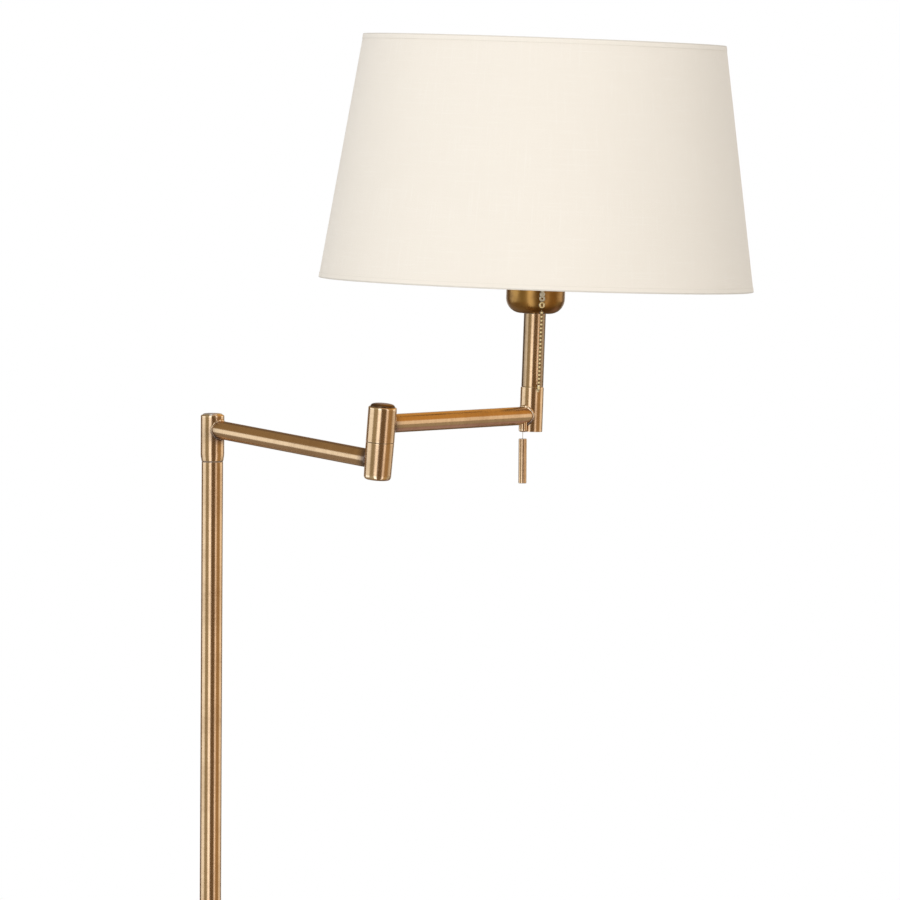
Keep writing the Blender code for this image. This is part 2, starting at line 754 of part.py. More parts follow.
# Shade: wire rings, a fitter between two ring nuts, three spokes and a laminated fabric wall
fitter_bore = HOLDER_RADIUS + GAP
fitter_high = FITTER_HEIGHT + 0.0015
tube(
    "shade_nut_lower",
    0.0265,
    fitter_bore,
    FITTER_HEIGHT - 0.0060,
    FITTER_HEIGHT - GAP,
    black_plastic,
    head,
    elbow_swivel,
    edge=0.0006,
)
tube(
    "shade_nut_upper",
    0.0265,
    fitter_bore,
    fitter_high + GAP,
    fitter_high + 0.0060,
    black_plastic,
    head,
    elbow_swivel,
    edge=0.0006,
)
fitter_radius = 0.0290
tube(
    "shade_fitter_ring",
    fitter_radius,
    fitter_bore,
    FITTER_HEIGHT,
    fitter_high,
    white_wire,
    head,
    elbow_swivel,
)


def shade_radius(height):
    """Outer radius of the tapered wall at a height."""
    share = (height - SHADE_BOTTOM) / (SHADE_TOP - SHADE_BOTTOM)
    return SHADE_BOTTOM_RADIUS + share * (SHADE_TOP_RADIUS - SHADE_BOTTOM_RADIUS)


ring_inset = SHADE_WALL + RING_WIRE + 2 * GAP
low_ring_height = SHADE_BOTTOM + 0.0030
high_ring_height = SHADE_TOP - 0.0030
low_ring_radius = shade_radius(low_ring_height) - ring_inset
high_ring_radius = shade_radius(high_ring_height) - ring_inset
ring("shade_bottom_ring", low_ring_radius, low_ring_height, RING_WIRE, white_wire, head, elbow_swivel)
ring("shade_top_ring", high_ring_radius, high_ring_height, RING_WIRE, white_wire, head, elbow_swivel)
spoke_inner = fitter_radius + RING_WIRE * 0.2 + GAP
spoke_outer = low_ring_radius - RING_WIRE - GAP
for number, angle in enumerate((90, 210, 330), start=1):
    around = turn(math.radians(angle), "Z")
    inner_end = around @ Vector((spoke_inner, 0, FITTER_HEIGHT + 0.00075))
    outer_end = around @ Vector((spoke_outer, 0, low_ring_height))
    length = (outer_end - inner_end).length
    disc(
        f"shade_spoke_{number}",
        RING_WIRE,
        0,
        length,
        white_wire,
        head @ aim(inner_end, outer_end),
        elbow_swivel,
        facets=12,
    )
shade_outline = [
    (shade_radius(SHADE_BOTTOM) - SHADE_WALL, SHADE_BOTTOM),
    (shade_radius(SHADE_BOTTOM), SHADE_BOTTOM),
    (shade_radius(SHADE_TOP), SHADE_TOP),
    (shade_radius(SHADE_TOP) - SHADE_WALL, SHADE_TOP),
]
turned("shade_panel", shade_outline, shade_fabric, head, elbow_swivel, FINE)

# Pull switch: nylon stub, clasp and bead chain, slanting in to a thread at the sleeve
stub_low = 0.1080
stub_place = head @ shift(CHAIN_SIDE, -CHAIN_FRONT_TOP)
disc("pull_stub", stub_radius, stub_low, boss_high - 0.001, white_nylon, stub_place, switch_slide, facets=16)
clasp_ring = 0.0026
clasp_wire = 0.0008
clasp_height = 0.1038
clasp_frame = stub_place @ shift(z=clasp_height) @ turn(math.pi / 2, "X")
clasp_outline = arc(clasp_ring, 0, clasp_wire, 0, 300, 5)
turned("chain_clasp", clasp_outline, brushed_brass, clasp_frame, switch_slide, 16)


def chain_outline(length):
    """Beads strung on a link wire, from the lower end to the upper one."""
    pitch = length / BEAD_COUNT
    outline = [(0, 0)]
    reach = math.degrees(math.acos(LINK_RADIUS / BEAD_RADIUS))
    for bead in range(BEAD_COUNT):
        outline += arc(0, (bead + 0.5) * pitch, BEAD_RADIUS, -reach, reach, 3)
    outline.append((0, length))
    return outline


chain_start = Vector((CHAIN_SIDE, -CHAIN_FRONT_END, CHAIN_END))
chain_stop = Vector((CHAIN_SIDE, -CHAIN_FRONT_TOP, CHAIN_TOP))
chain_frame = head @ aim(chain_start, chain_stop)
chain_length = (chain_stop - chain_start).length
turned("pull_chain", chain_outline(chain_length), brushed_brass, chain_frame, switch_slide, 6)
end_length = 0.0034
disc(
    "chain_end",
    0.0016,
    -end_length - GAP,
    -GAP,
    brushed_brass,
    chain_frame,
    switch_slide,
    edge=0.0003,
    facets=16,
)


def thread_route(points, steps=3):
    """A smooth curve through the route's points, read at even steps."""
    ends = [2 * points[0] - points[1], *points, 2 * points[-1] - points[-2]]
    route = []
    for a, b, c, d in zip(ends, ends[1:], ends[2:], ends[3:]):
        for i in range(steps):
            t = i / steps
            bend = (2 * b) + (c - a) * t + (2 * a - 5 * b + 4 * c - d) * t * t
            route.append(0.5 * (bend + (3 * b - a - 3 * c + d) * t * t * t))
    route.append(points[-1])
    return route


def thread(name, points, frame, parent):
    """A thin nylon line along a route, with closed ends."""
    curve = bpy.data.curves.new(name, "CURVE")
    curve.dimensions = "3D"
    curve.bevel_depth = THREAD_RADIUS
    curve.bevel_resolution = 2
    curve.use_fill_caps = True
    curve.render_resolution_u = 0
    spline = curve.splines.new("POLY")
    spline.points.add(len(points) - 1)
    for point, place in zip(spline.points, points):
        point.co = (*place, 1.0)
    return add(name, curve, white_nylon, frame, parent)


route_start = head.inverted() @ chain_frame @ Vector((0, 0, -end_length - 2 * GAP))
hole_x = math.cos(hole_angle)
hole_y = math.sin(hole_angle)
thread_points = [
    route_start,
    Vector((0.0120 * hole_x, 0.0120 * hole_y, THREAD_HOLE_HEIGHT + 0.0008)),
    Vector((0.0098 * hole_x, 0.0098 * hole_y, THREAD_HOLE_HEIGHT)),
    Vector((0.0070 * hole_x, 0.0070 * hole_y, THREAD_HOLE_HEIGHT - 0.0003)),
    Vector((0.0048 * hole_x, 0.0048 * hole_y, THREAD_HOLE_HEIGHT - 0.0030)),
    Vector((0.0005, -0.0040, 0.0080)),
    Vector((-0.0040, -0.0076, 0.0010)),
    Vector((GUIDE_PLACE.x + 0.0005, GUIDE_PLACE.y + 0.0008, -0.0045)),
    Vector((GUIDE_PLACE.x, GUIDE_PLACE.y, -0.0100)),
    Vector((GUIDE_PLACE.x, GUIDE_PLACE.y, -HEAD_SLEEVE_BELOW)),
]
thread("pull_thread", thread_route(thread_points), head, switch_slide)

# Pull bar, hanging on the last of the thread
tail_in_bar = 0.0060
tail_points = [Vector((0, 0, -GAP)), Vector((0, 0, -PULL_DROP / 2)), Vector((0, 0, -PULL_DROP - tail_in_bar))]
thread("thread_tail", tail_points, pull_hang, bar_pivot)
bar_low = -PULL_DROP - PULL_BAR_LENGTH
bar_edge = 0.0005
bar_hole = THREAD_RADIUS + GAP
bar_outline = [
    (0, bar_low),
    (PULL_BAR_RADIUS - bar_edge, bar_low),
    (PULL_BAR_RADIUS, bar_low + bar_edge),
    (PULL_BAR_RADIUS, -PULL_DROP - bar_edge),
    (PULL_BAR_RADIUS - bar_edge, -PULL_DROP),
    (bar_hole, -PULL_DROP),
    (bar_hole, -PULL_DROP - tail_in_bar - 0.001),
    (0, -PULL_DROP - tail_in_bar - 0.001),
]
turned("pull_bar", bar_outline, brushed_brass, pull_hang, bar_pivot)
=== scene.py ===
"""Looks of the adjustable arm floor lamp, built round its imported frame.

Metres, +Z up. A turned piece is made about its own Z axis, and then set in its place.
"""

import json
import math

import bmesh
import bpy
from mathutils import Matrix, Vector


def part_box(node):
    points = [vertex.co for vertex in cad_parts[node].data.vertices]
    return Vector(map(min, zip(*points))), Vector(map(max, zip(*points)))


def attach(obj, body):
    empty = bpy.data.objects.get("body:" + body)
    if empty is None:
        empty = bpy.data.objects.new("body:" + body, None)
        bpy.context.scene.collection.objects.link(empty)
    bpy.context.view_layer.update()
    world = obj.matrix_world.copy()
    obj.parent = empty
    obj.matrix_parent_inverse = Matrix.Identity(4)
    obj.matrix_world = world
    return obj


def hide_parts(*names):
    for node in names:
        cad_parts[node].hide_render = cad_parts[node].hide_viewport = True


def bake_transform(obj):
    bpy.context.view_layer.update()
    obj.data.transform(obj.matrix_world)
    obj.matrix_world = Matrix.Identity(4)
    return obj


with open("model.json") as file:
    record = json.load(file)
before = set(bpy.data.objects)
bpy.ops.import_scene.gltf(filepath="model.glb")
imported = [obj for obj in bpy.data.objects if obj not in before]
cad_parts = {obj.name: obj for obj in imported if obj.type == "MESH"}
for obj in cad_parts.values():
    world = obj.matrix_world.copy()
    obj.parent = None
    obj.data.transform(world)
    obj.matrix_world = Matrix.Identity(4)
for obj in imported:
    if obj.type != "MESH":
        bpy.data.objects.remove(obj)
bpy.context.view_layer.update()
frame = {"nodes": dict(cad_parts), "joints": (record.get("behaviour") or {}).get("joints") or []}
joints = {joint["name"]: joint for joint in frame["joints"]}


# Camera, a long lens well back from the lamp, a little above the arms and tipped down.
# It stands level with the shade's lower half, and is rolled by a hair.
def shift(x=0.0, y=0.0, z=0.0):
    return Matrix.Translation((x, y, z))


def turn(angle, axis):
    return Matrix.Rotation(angle, 4, axis)


camera = bpy.data.objects.new("camera", bpy.data.cameras.new("camera"))
camera.data.lens = 241.2
camera.data.sensor_width = 36
camera_tip = math.radians(90 - 3.15)
camera_roll = math.radians(0.39)
camera.matrix_world = shift(0.2204, -5.586, 1.4738) @ turn(camera_tip, "X") @ turn(camera_roll, "Z")
bpy.context.scene.collection.objects.link(camera)
bpy.context.scene.camera = camera
bpy.context.scene.view_settings.view_transform = "Standard"


# Studio: a white room whose softboxes and dark screens stand round the lamp, so that the
# tubes mirror them as bands. Each has a bearing from the camera's side and a half width,
# a height above the horizon and a half height, all in degrees, and its light.
def node(tree, kind, feeds=(), **settings):
    """A shader node with its settings made and its inputs linked or set."""
    made = tree.nodes.new("ShaderNode" + kind)
    for key, value in settings.items():
        setattr(made, key, value)
    for socket, feed in dict(feeds).items():
        end = made.inputs[socket]
        if isinstance(feed, bpy.types.NodeSocket):
            tree.links.new(feed, end)
        else:
            end.default_value = (*feed, 1.0) if end.type == "RGBA" else feed
    return made


def maths(tree, operation, first, second=0.0, third=0.0):
    return node(tree, "Math", {0: first, 1: second, 2: third}, operation=operation).outputs[0]


def mixed(tree, share, first, second):
    """The first colour where share is 0 and the second where it is 1."""
    colours = {6: first, 7: second}
    return node(tree, "Mix", {0: share, **colours}, data_type="RGBA").outputs[2]


def stepped(tree, value, low, high, bottom=0.0, top=1.0):
    """A soft step from bottom to top as value runs from low to high."""
    feeds = {0: value, 1: low, 2: high, 3: bottom, 4: top}
    return node(tree, "MapRange", feeds, interpolation_type="SMOOTHSTEP").outputs[0]


softboxes = {
    "ceiling": (0, 360, 90, 28, (0.80, 0.76, 0.70)),
    "front_strip": (-21, 12.5, 0, 60, (1.75, 1.87, 2.10)),
    "left_wood_above": (-108, 45, 49, 35, (0.37, 0.28, 0.16)),
    "left_floor": (-112, 48, -44, 26, (0.38, 0.33, 0.27)),
    "left_wall": (-94, 23, -2, 17, (1.36, 1.50, 1.64)),
    "left_screen": (-52, 19, 0, 60, (0.45, 0.42, 0.31)),
    "right_strip": (45, 9, 0, 60, (1.38, 1.32, 1.34)),
    "right_screen": (74, 22, 0, 60, (0.50, 0.35, 0.18)),
    "right_wood_above": (131, 48, 47, 34, (0.74, 0.42, 0.12)),
    "right_olive_below": (108, 14, -25, 12, (0.50, 0.46, 0.36)),
    "right_floor": (136, 20, -39, 8, (0.50, 0.37, 0.36)),
    "right_wall": (112, 17, 2, 13, (1.35, 1.28, 1.16)),
    "rear_left": (-160, 9, 0, 16, (0.80, 0.78, 0.74)),
    "rear_right": (160, 9, 0, 16, (0.80, 0.78, 0.74)),
    "horizon": (180, 9, 8, 9, (0.62, 0.60, 0.62)),
}
dark_room = (0.21, 0.15, 0.09)
room_light = (0.64, 0.64, 0.64)
white = (1.0, 1.0, 1.0)
blur = 3.0

world = bpy.data.worlds.new("studio")
bpy.context.scene.world = world
world.use_nodes = True
sky = world.node_tree
sky.nodes.clear()
way = node(sky, "SeparateXYZ", {0: node(sky, "TexCoord").outputs["Generated"]}).outputs
front = maths(sky, "MULTIPLY", way[1], -1.0)
bearing = maths(sky, "DEGREES", maths(sky, "ARCTAN2", way[0], front))
height = maths(sky, "DEGREES", maths(sky, "ARCSINE", way[2]))
mirrored = dark_room
for centre, half_width, middle, half_height, light in softboxes.values():
    aside = maths(sky, "WRAP", maths(sky, "SUBTRACT", bearing, centre), 180.0, -180.0)
    across = maths(sky, "ABSOLUTE", aside)
    upright = maths(sky, "ABSOLUTE", maths(sky, "SUBTRACT", height, middle))
    inside = stepped(sky, across, half_width + blur, half_width - blur)
    level = stepped(sky, upright, half_height + blur, half_height - blur)
    mirrored = mixed(sky, maths(sky, "MULTIPLY", inside, level), mirrored, light)
rays = node(sky, "LightPath").outputs
seen = mixed(sky, rays["Is Glossy Ray"], room_light, mirrored)
seen = mixed(sky, rays["Is Camera Ray"], seen, white)
backdrop = node(sky, "Background", {"Color": seen, "Strength": 1.0})
node(sky, "OutputWorld", {"Surface": backdrop.outputs[0]})


def up(height):
    return Vector((0, 0, height))


def lamp_light(name, bearing, height, distance, width, tall, power, tint=(1.0, 1.0, 1.0)):
    """A large soft panel that looks at the lamp's middle and lights its matt surfaces."""
    panel = bpy.data.lights.new(name, "AREA")
    panel.shape = "RECTANGLE"
    panel.size = width
    panel.size_y = tall
    panel.energy = power
    panel.color = tint
    holder = bpy.data.objects.new(name, panel)
    bpy.context.scene.collection.objects.link(holder)
    middle = Vector((0.2, 0.0, 1.2))
    across = math.radians(bearing)
    rise = math.radians(height)
    flat = Vector((math.sin(across), -math.cos(across), 0.0)) * math.cos(rise)
    away = flat + up(math.sin(rise))
    holder.location = middle + away * distance
    holder.rotation_euler = away.to_track_quat("Z", "Y").to_euler()
    holder.visible_camera = False
    holder.visible_glossy = False


lamp_light("key_panel", -20, 12, 3.4, 1.8, 2.4, 45)
lamp_light("fill_panel", 70, 4, 3.6, 1.4, 2.4, 16, (1.0, 0.90, 0.78))
lamp_light("top_panel", 0, 80, 3.0, 2.4, 2.4, 22)
lamp_light("back_panel", 165, 25, 4.0, 2.0, 2.0, 14)

floor_radius = 5.0
floor_mesh = bpy.data.meshes.new("studio_floor")
floor_shape = bmesh.new()
bmesh.ops.create_circle(floor_shape, cap_ends=True, radius=floor_radius, segments=96)
floor_shape.to_mesh(floor_mesh)
floor_shape.free()
floor = bpy.data.objects.new("studio_floor", floor_mesh)
floor.location = (0.2, 0.0, -0.0004)
floor.visible_glossy = False
bpy.context.scene.collection.objects.link(floor)
floor_paint = bpy.data.materials.new("studio_floor")
floor_paint.use_nodes = True
tree = floor_paint.node_tree
paint = tree.nodes["Principled BSDF"]
paint.inputs["Roughness"].default_value = 0.9
paint.inputs["Base Color"].default_value = (0.86, 0.86, 0.86, 1.0)
clear = node(tree, "BsdfTransparent").outputs[0]
spot = node(tree, "VectorMath", {0: node(tree, "TexCoord").outputs["Object"]}, operation="LENGTH")
fade = stepped(tree, spot.outputs["Value"], 0.35 * floor_radius, 0.98 * floor_radius)
fade = maths(tree, "MAXIMUM", fade, node(tree, "NewGeometry").outputs["Backfacing"])
shown = node(tree, "MixShader", {0: fade, 1: paint.outputs[0], 2: clear})
tree.links.new(shown.outputs[0], tree.nodes["Material Output"].inputs["Surface"])
floor_mesh.materials.append(floor_paint)


# Base: a brass plate spun over a cast weight, on a felt pad, with a rubber gland at the
# back where the flex leaves. The plate is brushed as it spins, then toned and lacquered.
def group(name, inputs, outputs):
    """A new shader node group, with the sockets that lead in and out of it."""
    tree = bpy.data.node_groups.new(name, "ShaderNodeTree")
    for label in inputs:
        kind = "NodeSocketVector" if label == "Place" else "NodeSocketFloat"
        tree.interface.new_socket(label, in_out="INPUT", socket_type=kind)
    for label in outputs:
        tree.interface.new_socket(label, in_out="OUTPUT", socket_type="NodeSocketFloat")
    return tree, tree.nodes.new("NodeGroupInput").outputs, tree.nodes.new("NodeGroupOutput").inputs


def lead_out(tree, made, **results):
    for label, result in results.items():
        tree.links.new(result, made[label])
    return tree


def noise(tree, place, scale, detail=2.0, roughness=0.5):
    feeds = {"Vector": place, "Scale": scale, "Detail": detail, "Roughness": roughness}
    return node(tree, "TexNoise", feeds).outputs["Fac"]


def turning_marks():
    """Fine scratches that run round a turned piece, on its sides and on its flat ends."""
    tree, given, made = group("turning_marks", ["Place", "Fineness", "Breaks"], ["Height", "Tone"])
    x, y, z = node(tree, "SeparateXYZ", {0: given["Place"]}).outputs
    flat = node(tree, "CombineXYZ", {0: x, 1: y, 2: 0.0}).outputs[0]
    radius = node(tree, "VectorMath", {0: flat}, operation="LENGTH").outputs["Value"]
    round_it = node(tree, "VectorMath", {0: flat}, operation="NORMALIZE").outputs[0]
    spread = node(tree, "VectorMath", {0: round_it, 3: given["Breaks"]}, operation="SCALE").outputs[0]
    along = maths(tree, "MULTIPLY", maths(tree, "ADD", radius, z), given["Fineness"])
    lines = node(tree, "CombineXYZ", {2: along}).outputs[0]
    place = node(tree, "VectorMath", {0: spread, 1: lines}, operation="ADD").outputs[0]
    coarse = node(tree, "VectorMath", {0: place, 3: 0.11}, operation="SCALE").outputs[0]
    return lead_out(tree, made, Height=noise(tree, place, 1.0, 3.0, 0.6), Tone=noise(tree, coarse, 1.0))


def tarnish_and_shade():
    """Soft patches of darker metal, and the marks a piece carries: from brazing, and painted shade."""
    tree, given, made = group("tarnish_and_shade", ["Place", "Patches", "Amount", "Stain"], ["Mask"])
    clouds = noise(tree, given["Place"], given["Patches"], 4.0, 0.62)
    patches = maths(tree, "MULTIPLY", stepped(tree, clouds, 0.42, 0.68), given["Amount"])
    specks = noise(tree, given["Place"], 900.0, 2.0)
    ragged = maths(tree, "MULTIPLY", given["Stain"], stepped(tree, specks, 0.1, 0.5, 0.6, 1.0))
    return lead_out(tree, made, Mask=maths(tree, "MAXIMUM", patches, ragged))


def edge_wear_and_highlight():
    """A bright line along an edge: wear broken where hands don't reach, and a painted glint."""
    tree, given, made = group("edge_wear_and_highlight", ["Place", "Edge", "Amount"], ["Mask"])
    patches = stepped(tree, noise(tree, given["Place"], 240.0, 3.0), 0.3, 0.6, 0.45, 1.0)
    rubbed = maths(tree, "MULTIPLY", stepped(tree, given["Edge"], 0.15, 0.95), patches)
    return lead_out(tree, made, Mask=maths(tree, "MULTIPLY", rubbed, given["Amount"]))


marks_group = turning_marks()
toning_and_shade_group = tarnish_and_shade()
wear_and_highlight_group = edge_wear_and_highlight()


def material(name, slot, **values):
    """A new material on a record's slot, with its own shader's plain values set."""
    made = bpy.data.materials.new(name)
    made.use_nodes = True
    made["slot"] = slot
    surface = made.node_tree.nodes["Principled BSDF"]
    for key, value in values.items():
        surface.inputs[key.replace("_", " ")].default_value = value
    place = node(made.node_tree, "TexCoord").outputs["Object"]
    return made, made.node_tree, surface.inputs, place


def effect(tree, group_tree, **feeds):
    """The outputs of a node group whose inputs are linked or set."""
    return node(tree, "Group", feeds, node_tree=group_tree).outputs


def bump(tree, surface, height, strength, depth):
    feeds = {"Strength": strength, "Distance": depth, "Height": height}
    tree.links.new(node(tree, "Bump", feeds).outputs["Normal"], surface["Normal"])


def brass(name, slot, fresh, dull, burnt, rubbed, gloss, patches, amount, fineness, edge_shade, **values):
    """Brass in one of its tones: toned patches, turning marks, edges bright with wear and painted glint.

    Edge shade is painted shade: how far the colour darkens where it is seen edge on.
    """
    made, tree, surface, place = material(name, slot, **{"Metallic": 1.0, **values})
    edge = node(tree, "Attribute", attribute_name="edge").outputs["Fac"]
    stain_and_shade = node(tree, "Attribute", attribute_name="stain_and_shade").outputs["Fac"]
    marks = effect(tree, marks_group, Place=place, Fineness=fineness, Breaks=5.0)
    toned = effect(tree, toning_and_shade_group, Place=place, Patches=patches, Amount=amount, Stain=stain_and_shade)["Mask"]
    worn_and_highlight = effect(tree, wear_and_highlight_group, Place=place, Edge=edge, Amount=0.8)["Mask"]
    banded = maths(tree, "MULTIPLY_ADD", marks["Tone"], 0.5, -0.2)
    shade = node(tree, "Math", {0: toned, 1: banded}, operation="ADD", use_clamp=True).outputs[0]
    # Here brazing marks, grime and painted shade darken the colour.
    heated_and_shaded = mixed(tree, maths(tree, "MULTIPLY", stain_and_shade, 0.8), mixed(tree, shade, fresh, dull), burnt)
    bare = mixed(tree, worn_and_highlight, heated_and_shaded, rubbed)
    facing = node(tree, "LayerWeight", {"Blend": 0.5}).outputs["Facing"]
    edge_shading = stepped(tree, facing, 0.0, 0.5, 1.0, 1.0 - edge_shade)
    colour = node(tree, "VectorMath", {0: bare, 3: edge_shading}, operation="SCALE").outputs[0]
    tree.links.new(colour, surface["Base Color"])
    rough = maths(tree, "MULTIPLY_ADD", toned, 0.16, gloss)
    rough = maths(tree, "MULTIPLY_ADD", marks["Tone"], 0.08, rough)
    tree.links.new(maths(tree, "MULTIPLY_ADD", worn_and_highlight, -0.08, rough), surface["Roughness"])
    bump(tree, surface, marks["Height"], 0.12, 0.00004)
    return made


bronze_tones = {
    "slot": "brushed_brass", "fresh": (0.66, 0.44, 0.25), "dull": (0.42, 0.25, 0.12),
    "burnt": (0.13, 0.10, 0.095), "rubbed": (0.86, 0.66, 0.44), "patches": 26.0, "amount": 0.35,
    "Anisotropic": 0.4, "Anisotropic_Rotation": 0.25,
}
# Each brass's edge shade is painted shade, where it is seen edge on.
plate_brass = brass(
    "plate_brass", gloss=0.3, fineness=2400.0, edge_shade=0.35, Coat_Weight=0.1, **bronze_tones,
)
bronzed_brass = brass(
    "bronzed_brass", gloss=0.16, fineness=5200.0, edge_shade=0.06, Coat_Weight=0.35,
    Coat_Roughness=0.12, **bronze_tones,
)


def rounded(corners, steps=4):
    """Points (radius, height, wear) of a closed outline whose corners are rounded off.

    A corner is (radius, height) or (radius, height, fillet). Wear is 1 on a fillet.
    """
    points = []
    corners = list(corners)
    for before, corner, after in zip(corners[-1:] + corners[:-1], corners, corners[1:] + corners[:1]):
        here = Vector(corner[:2])
        if len(corner) < 3:
            points.append((*here, 0.0))
            continue
        back = Vector(before[:2]) - here
        ahead = Vector(after[:2]) - here
        half = back.angle(ahead) / 2
        run = corner[2] / math.tan(half)
        middle = here + (back.normalized() + ahead.normalized()).normalized() * corner[2] / math.sin(half)
        spokes = [here + way.normalized() * run - middle for way in (back, ahead)]
        held = [here + way.normalized() * run * 2 for way in (back, ahead)]
        roomy = [way.length > 4.2 * run for way in (back, ahead)]
        if roomy[0]:
            points.append((*held[0], 0.0))
        for step in range(steps + 1):
            spoke = spokes[0].lerp(spokes[1], step / steps).normalized() * corner[2]
            points.append((*(middle + spoke), 1.0))
        if roomy[1]:
            points.append((*held[1], 0.0))
    return points


def arc(radius, height, size, start, stop, steps=10):
    """Points of an arc about (radius, height), from one angle in degrees to another."""
    angles = [math.radians(start + (stop - start) * step / steps) for step in range(steps + 1)]
    return [(radius + size * math.cos(a), height + size * math.sin(a)) for a in angles]


def plain_ring(inner, outer, low, high, edge, top_edge=None):
    """Outline of a plain ring, or of a disc where inner is 0, its outer corners rounded."""
    top_edge = edge if top_edge is None else top_edge
    return [(inner, low), (outer, low, edge), (outer, high, top_edge), (inner, high)]


def skin(name, rings):
    """A mesh along rings of (point, edge, darkening), the last joined to the first.

    A ring of one point is a pole.
    """
    shape = bmesh.new()
    edge_layer = shape.verts.layers.float.new("edge")
    stain_layer = shape.verts.layers.float.new("stain_and_shade")
    rows = []
    for ring in rings:
        row = []
        for point, edge, stain_and_shade in ring:
            vert = shape.verts.new(point)
            vert[edge_layer] = edge
            vert[stain_layer] = stain_and_shade
            row.append(vert)
        rows.append(row)
    for row, other in zip(rows, rows[1:] + rows[:1]):
        count = max(len(row), len(other))
        if count == 1:
            continue
        for i in range(count):
            j = (i + 1) % count
            loop = [row[i % len(row)], row[j % len(row)], other[j % len(other)], other[i % len(other)]]
            shape.faces.new(list(dict.fromkeys(loop)))
    bmesh.ops.recalc_face_normals(shape, faces=shape.faces)
    mesh = bpy.data.meshes.new(name)
    shape.to_mesh(mesh)
    shape.free()
    mesh.shade_smooth()
    mesh.set_sharp_from_angle(angle=math.radians(40))
    return mesh


def fit(name, mesh, place, body, finish, *nodes):
    """Set a piece in its place, finish it, and hang it on its body for its CAD nodes."""
    piece = bpy.data.objects.new(name, mesh)
    bpy.context.scene.collection.objects.link(piece)
    piece.matrix_world = place
    mesh.materials.append(finish)
    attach(piece, body)
    if nodes:
        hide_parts(*nodes)
    return piece


def turned(name, corners, place, body, finish, *nodes, sides=96, relief=None, darkening=None):
    """A piece turned about local Z from its outline.

    Relief moves a point's radius; darkening darkens it, for brazing, grime and painted shade.
    """
    rings = []
    for radius, height, edge in rounded(corners):
        ring = []
        for i in range(sides if radius > 1e-6 else 1):
            angle = math.tau * i / sides
            reach = radius + (relief(radius, height, angle) if relief else 0.0)
            point = Vector((reach * math.cos(angle), reach * math.sin(angle), height))
            ring.append((point, edge, darkening(point) if darkening else 0.0))
        rings.append(ring)
    return fit(name, skin(name, rings), place, body, finish, *nodes)


ground = Matrix.Identity(4)
plate_low, plate_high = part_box("base_cover")
plate_radius = plate_high.x
plate_wall = 0.0015
plate_corner = 0.006
plate_crown = 0.0025
stud_hole = 0.0053


def plate_height(radius):
    """The plate's crown, which rises softly from the rolled edge to the pole."""
    share = radius / (plate_radius - plate_corner)
    return plate_high.z - plate_crown * share**3.2


plate_rim = plate_high.z - plate_crown - plate_corner
plate_inner = plate_radius - plate_wall
radii = [stud_hole + (plate_radius - plate_corner - stud_hole) * i / 24 for i in range(25)]
plate_outline = [(plate_inner, plate_low.z), (plate_radius, plate_low.z, 0.0004)]
plate_outline += arc(plate_radius - plate_corner, plate_rim, plate_corner, 0, 84)
plate_outline += [(radius, plate_height(radius)) for radius in radii[::-1]]
plate_outline += [(radius, plate_height(radius) - plate_wall) for radius in radii]
plate_outline += arc(plate_radius - plate_corner, plate_rim, plate_corner - plate_wall, 84, 0)
turned("base_plate", plate_outline, ground, "stand", plate_brass, "base_cover", sides=192)


def speckle():
    """An even grain of pits and lumps, such as a casting's, a felt's or a moulding's."""
    tree, given, made = group("speckle", ["Place", "Grains", "Contrast"], ["Height", "Tone"])
    grain = noise(tree, given["Place"], given["Grains"], 5.0, 0.7)
    clouds = noise(tree, given["Place"], maths(tree, "MULTIPLY", given["Grains"], 0.06), 3.0)
    both = maths(tree, "MULTIPLY_ADD", maths(tree, "SUBTRACT", clouds, grain), given["Contrast"], 0.5)
    return lead_out(tree, made, Height=grain, Tone=both)


speckle_group = speckle()


def grained(name, slot, light, dark, grains, contrast, strength, depth, gloss=0.5, swing=0.1, **values):
    """A grained surface between two colours, with a bump of its own depth."""
    made, tree, surface, place = material(name, slot, **values)
    grain = effect(tree, speckle_group, Place=place, Grains=grains, Contrast=contrast)
    tree.links.new(mixed(tree, grain["Tone"], light, dark), surface["Base Color"])
    rough = maths(tree, "MULTIPLY_ADD", grain["Height"], swing, gloss - swing / 2)
    tree.links.new(rough, surface["Roughness"])
    bump(tree, surface, grain["Height"], strength, depth)
    return made


black_felt = grained(
    "black_felt", "felt", light=(0.075, 0.073, 0.07), dark=(0.02, 0.02, 0.02), grains=1400.0,
    contrast=1.2, strength=0.9, depth=0.0005, gloss=0.92, Sheen_Weight=0.4, Sheen_Roughness=0.6,
)
felt_low, felt_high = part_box("base_felt_pad")
felt_outline = plain_ring(0, felt_high.x, felt_low.z, felt_high.z, 0.0006, 0.0004)
turned("felt_disc", felt_outline, ground, "stand", black_felt, "base_felt_pad", sides=160)

black_rubber = grained(
    "black_rubber", "black_plastic", light=(0.035, 0.035, 0.036), dark=(0.012, 0.012, 0.012),
    grains=2600.0, contrast=0.8, strength=0.25, depth=0.00008, gloss=0.55,
)
gland_low, gland_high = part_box("cable_gland")
gland_middle = (gland_low + gland_high) / 2
gland_radius = 0.0042
gland_bore = 0.0019
gland_flange = 0.0054
gland_outline = [
    (gland_bore, gland_low.y), (gland_radius, gland_low.y, 0.0004),
    (gland_radius, plate_radius + 0.0003), (gland_flange, plate_radius + 0.0003, 0.0003),
    (gland_flange - 0.0005, plate_radius + 0.0022, 0.0005), (gland_bore + 0.0004, gland_high.y, 0.0002),
    (gland_bore, gland_high.y - 0.0006),
]
backwards = shift(z=gland_middle.z) @ turn(-math.pi / 2, "X")
turned("flex_gland", gland_outline, backwards, "stand", black_rubber, "cable_gland", sides=48)


# Inside the base and the joints: the cast weight and the zinc plated steel that holds
# each joint together, on dark fibre washers. All are stock parts, and keep their CAD shapes.
def refinish(finish, *names):
    """Give CAD nodes that stay their own material."""
    for name in names:
        kept = frame["nodes"][name]
        for slot in kept.material_slots:
            slot.material = finish


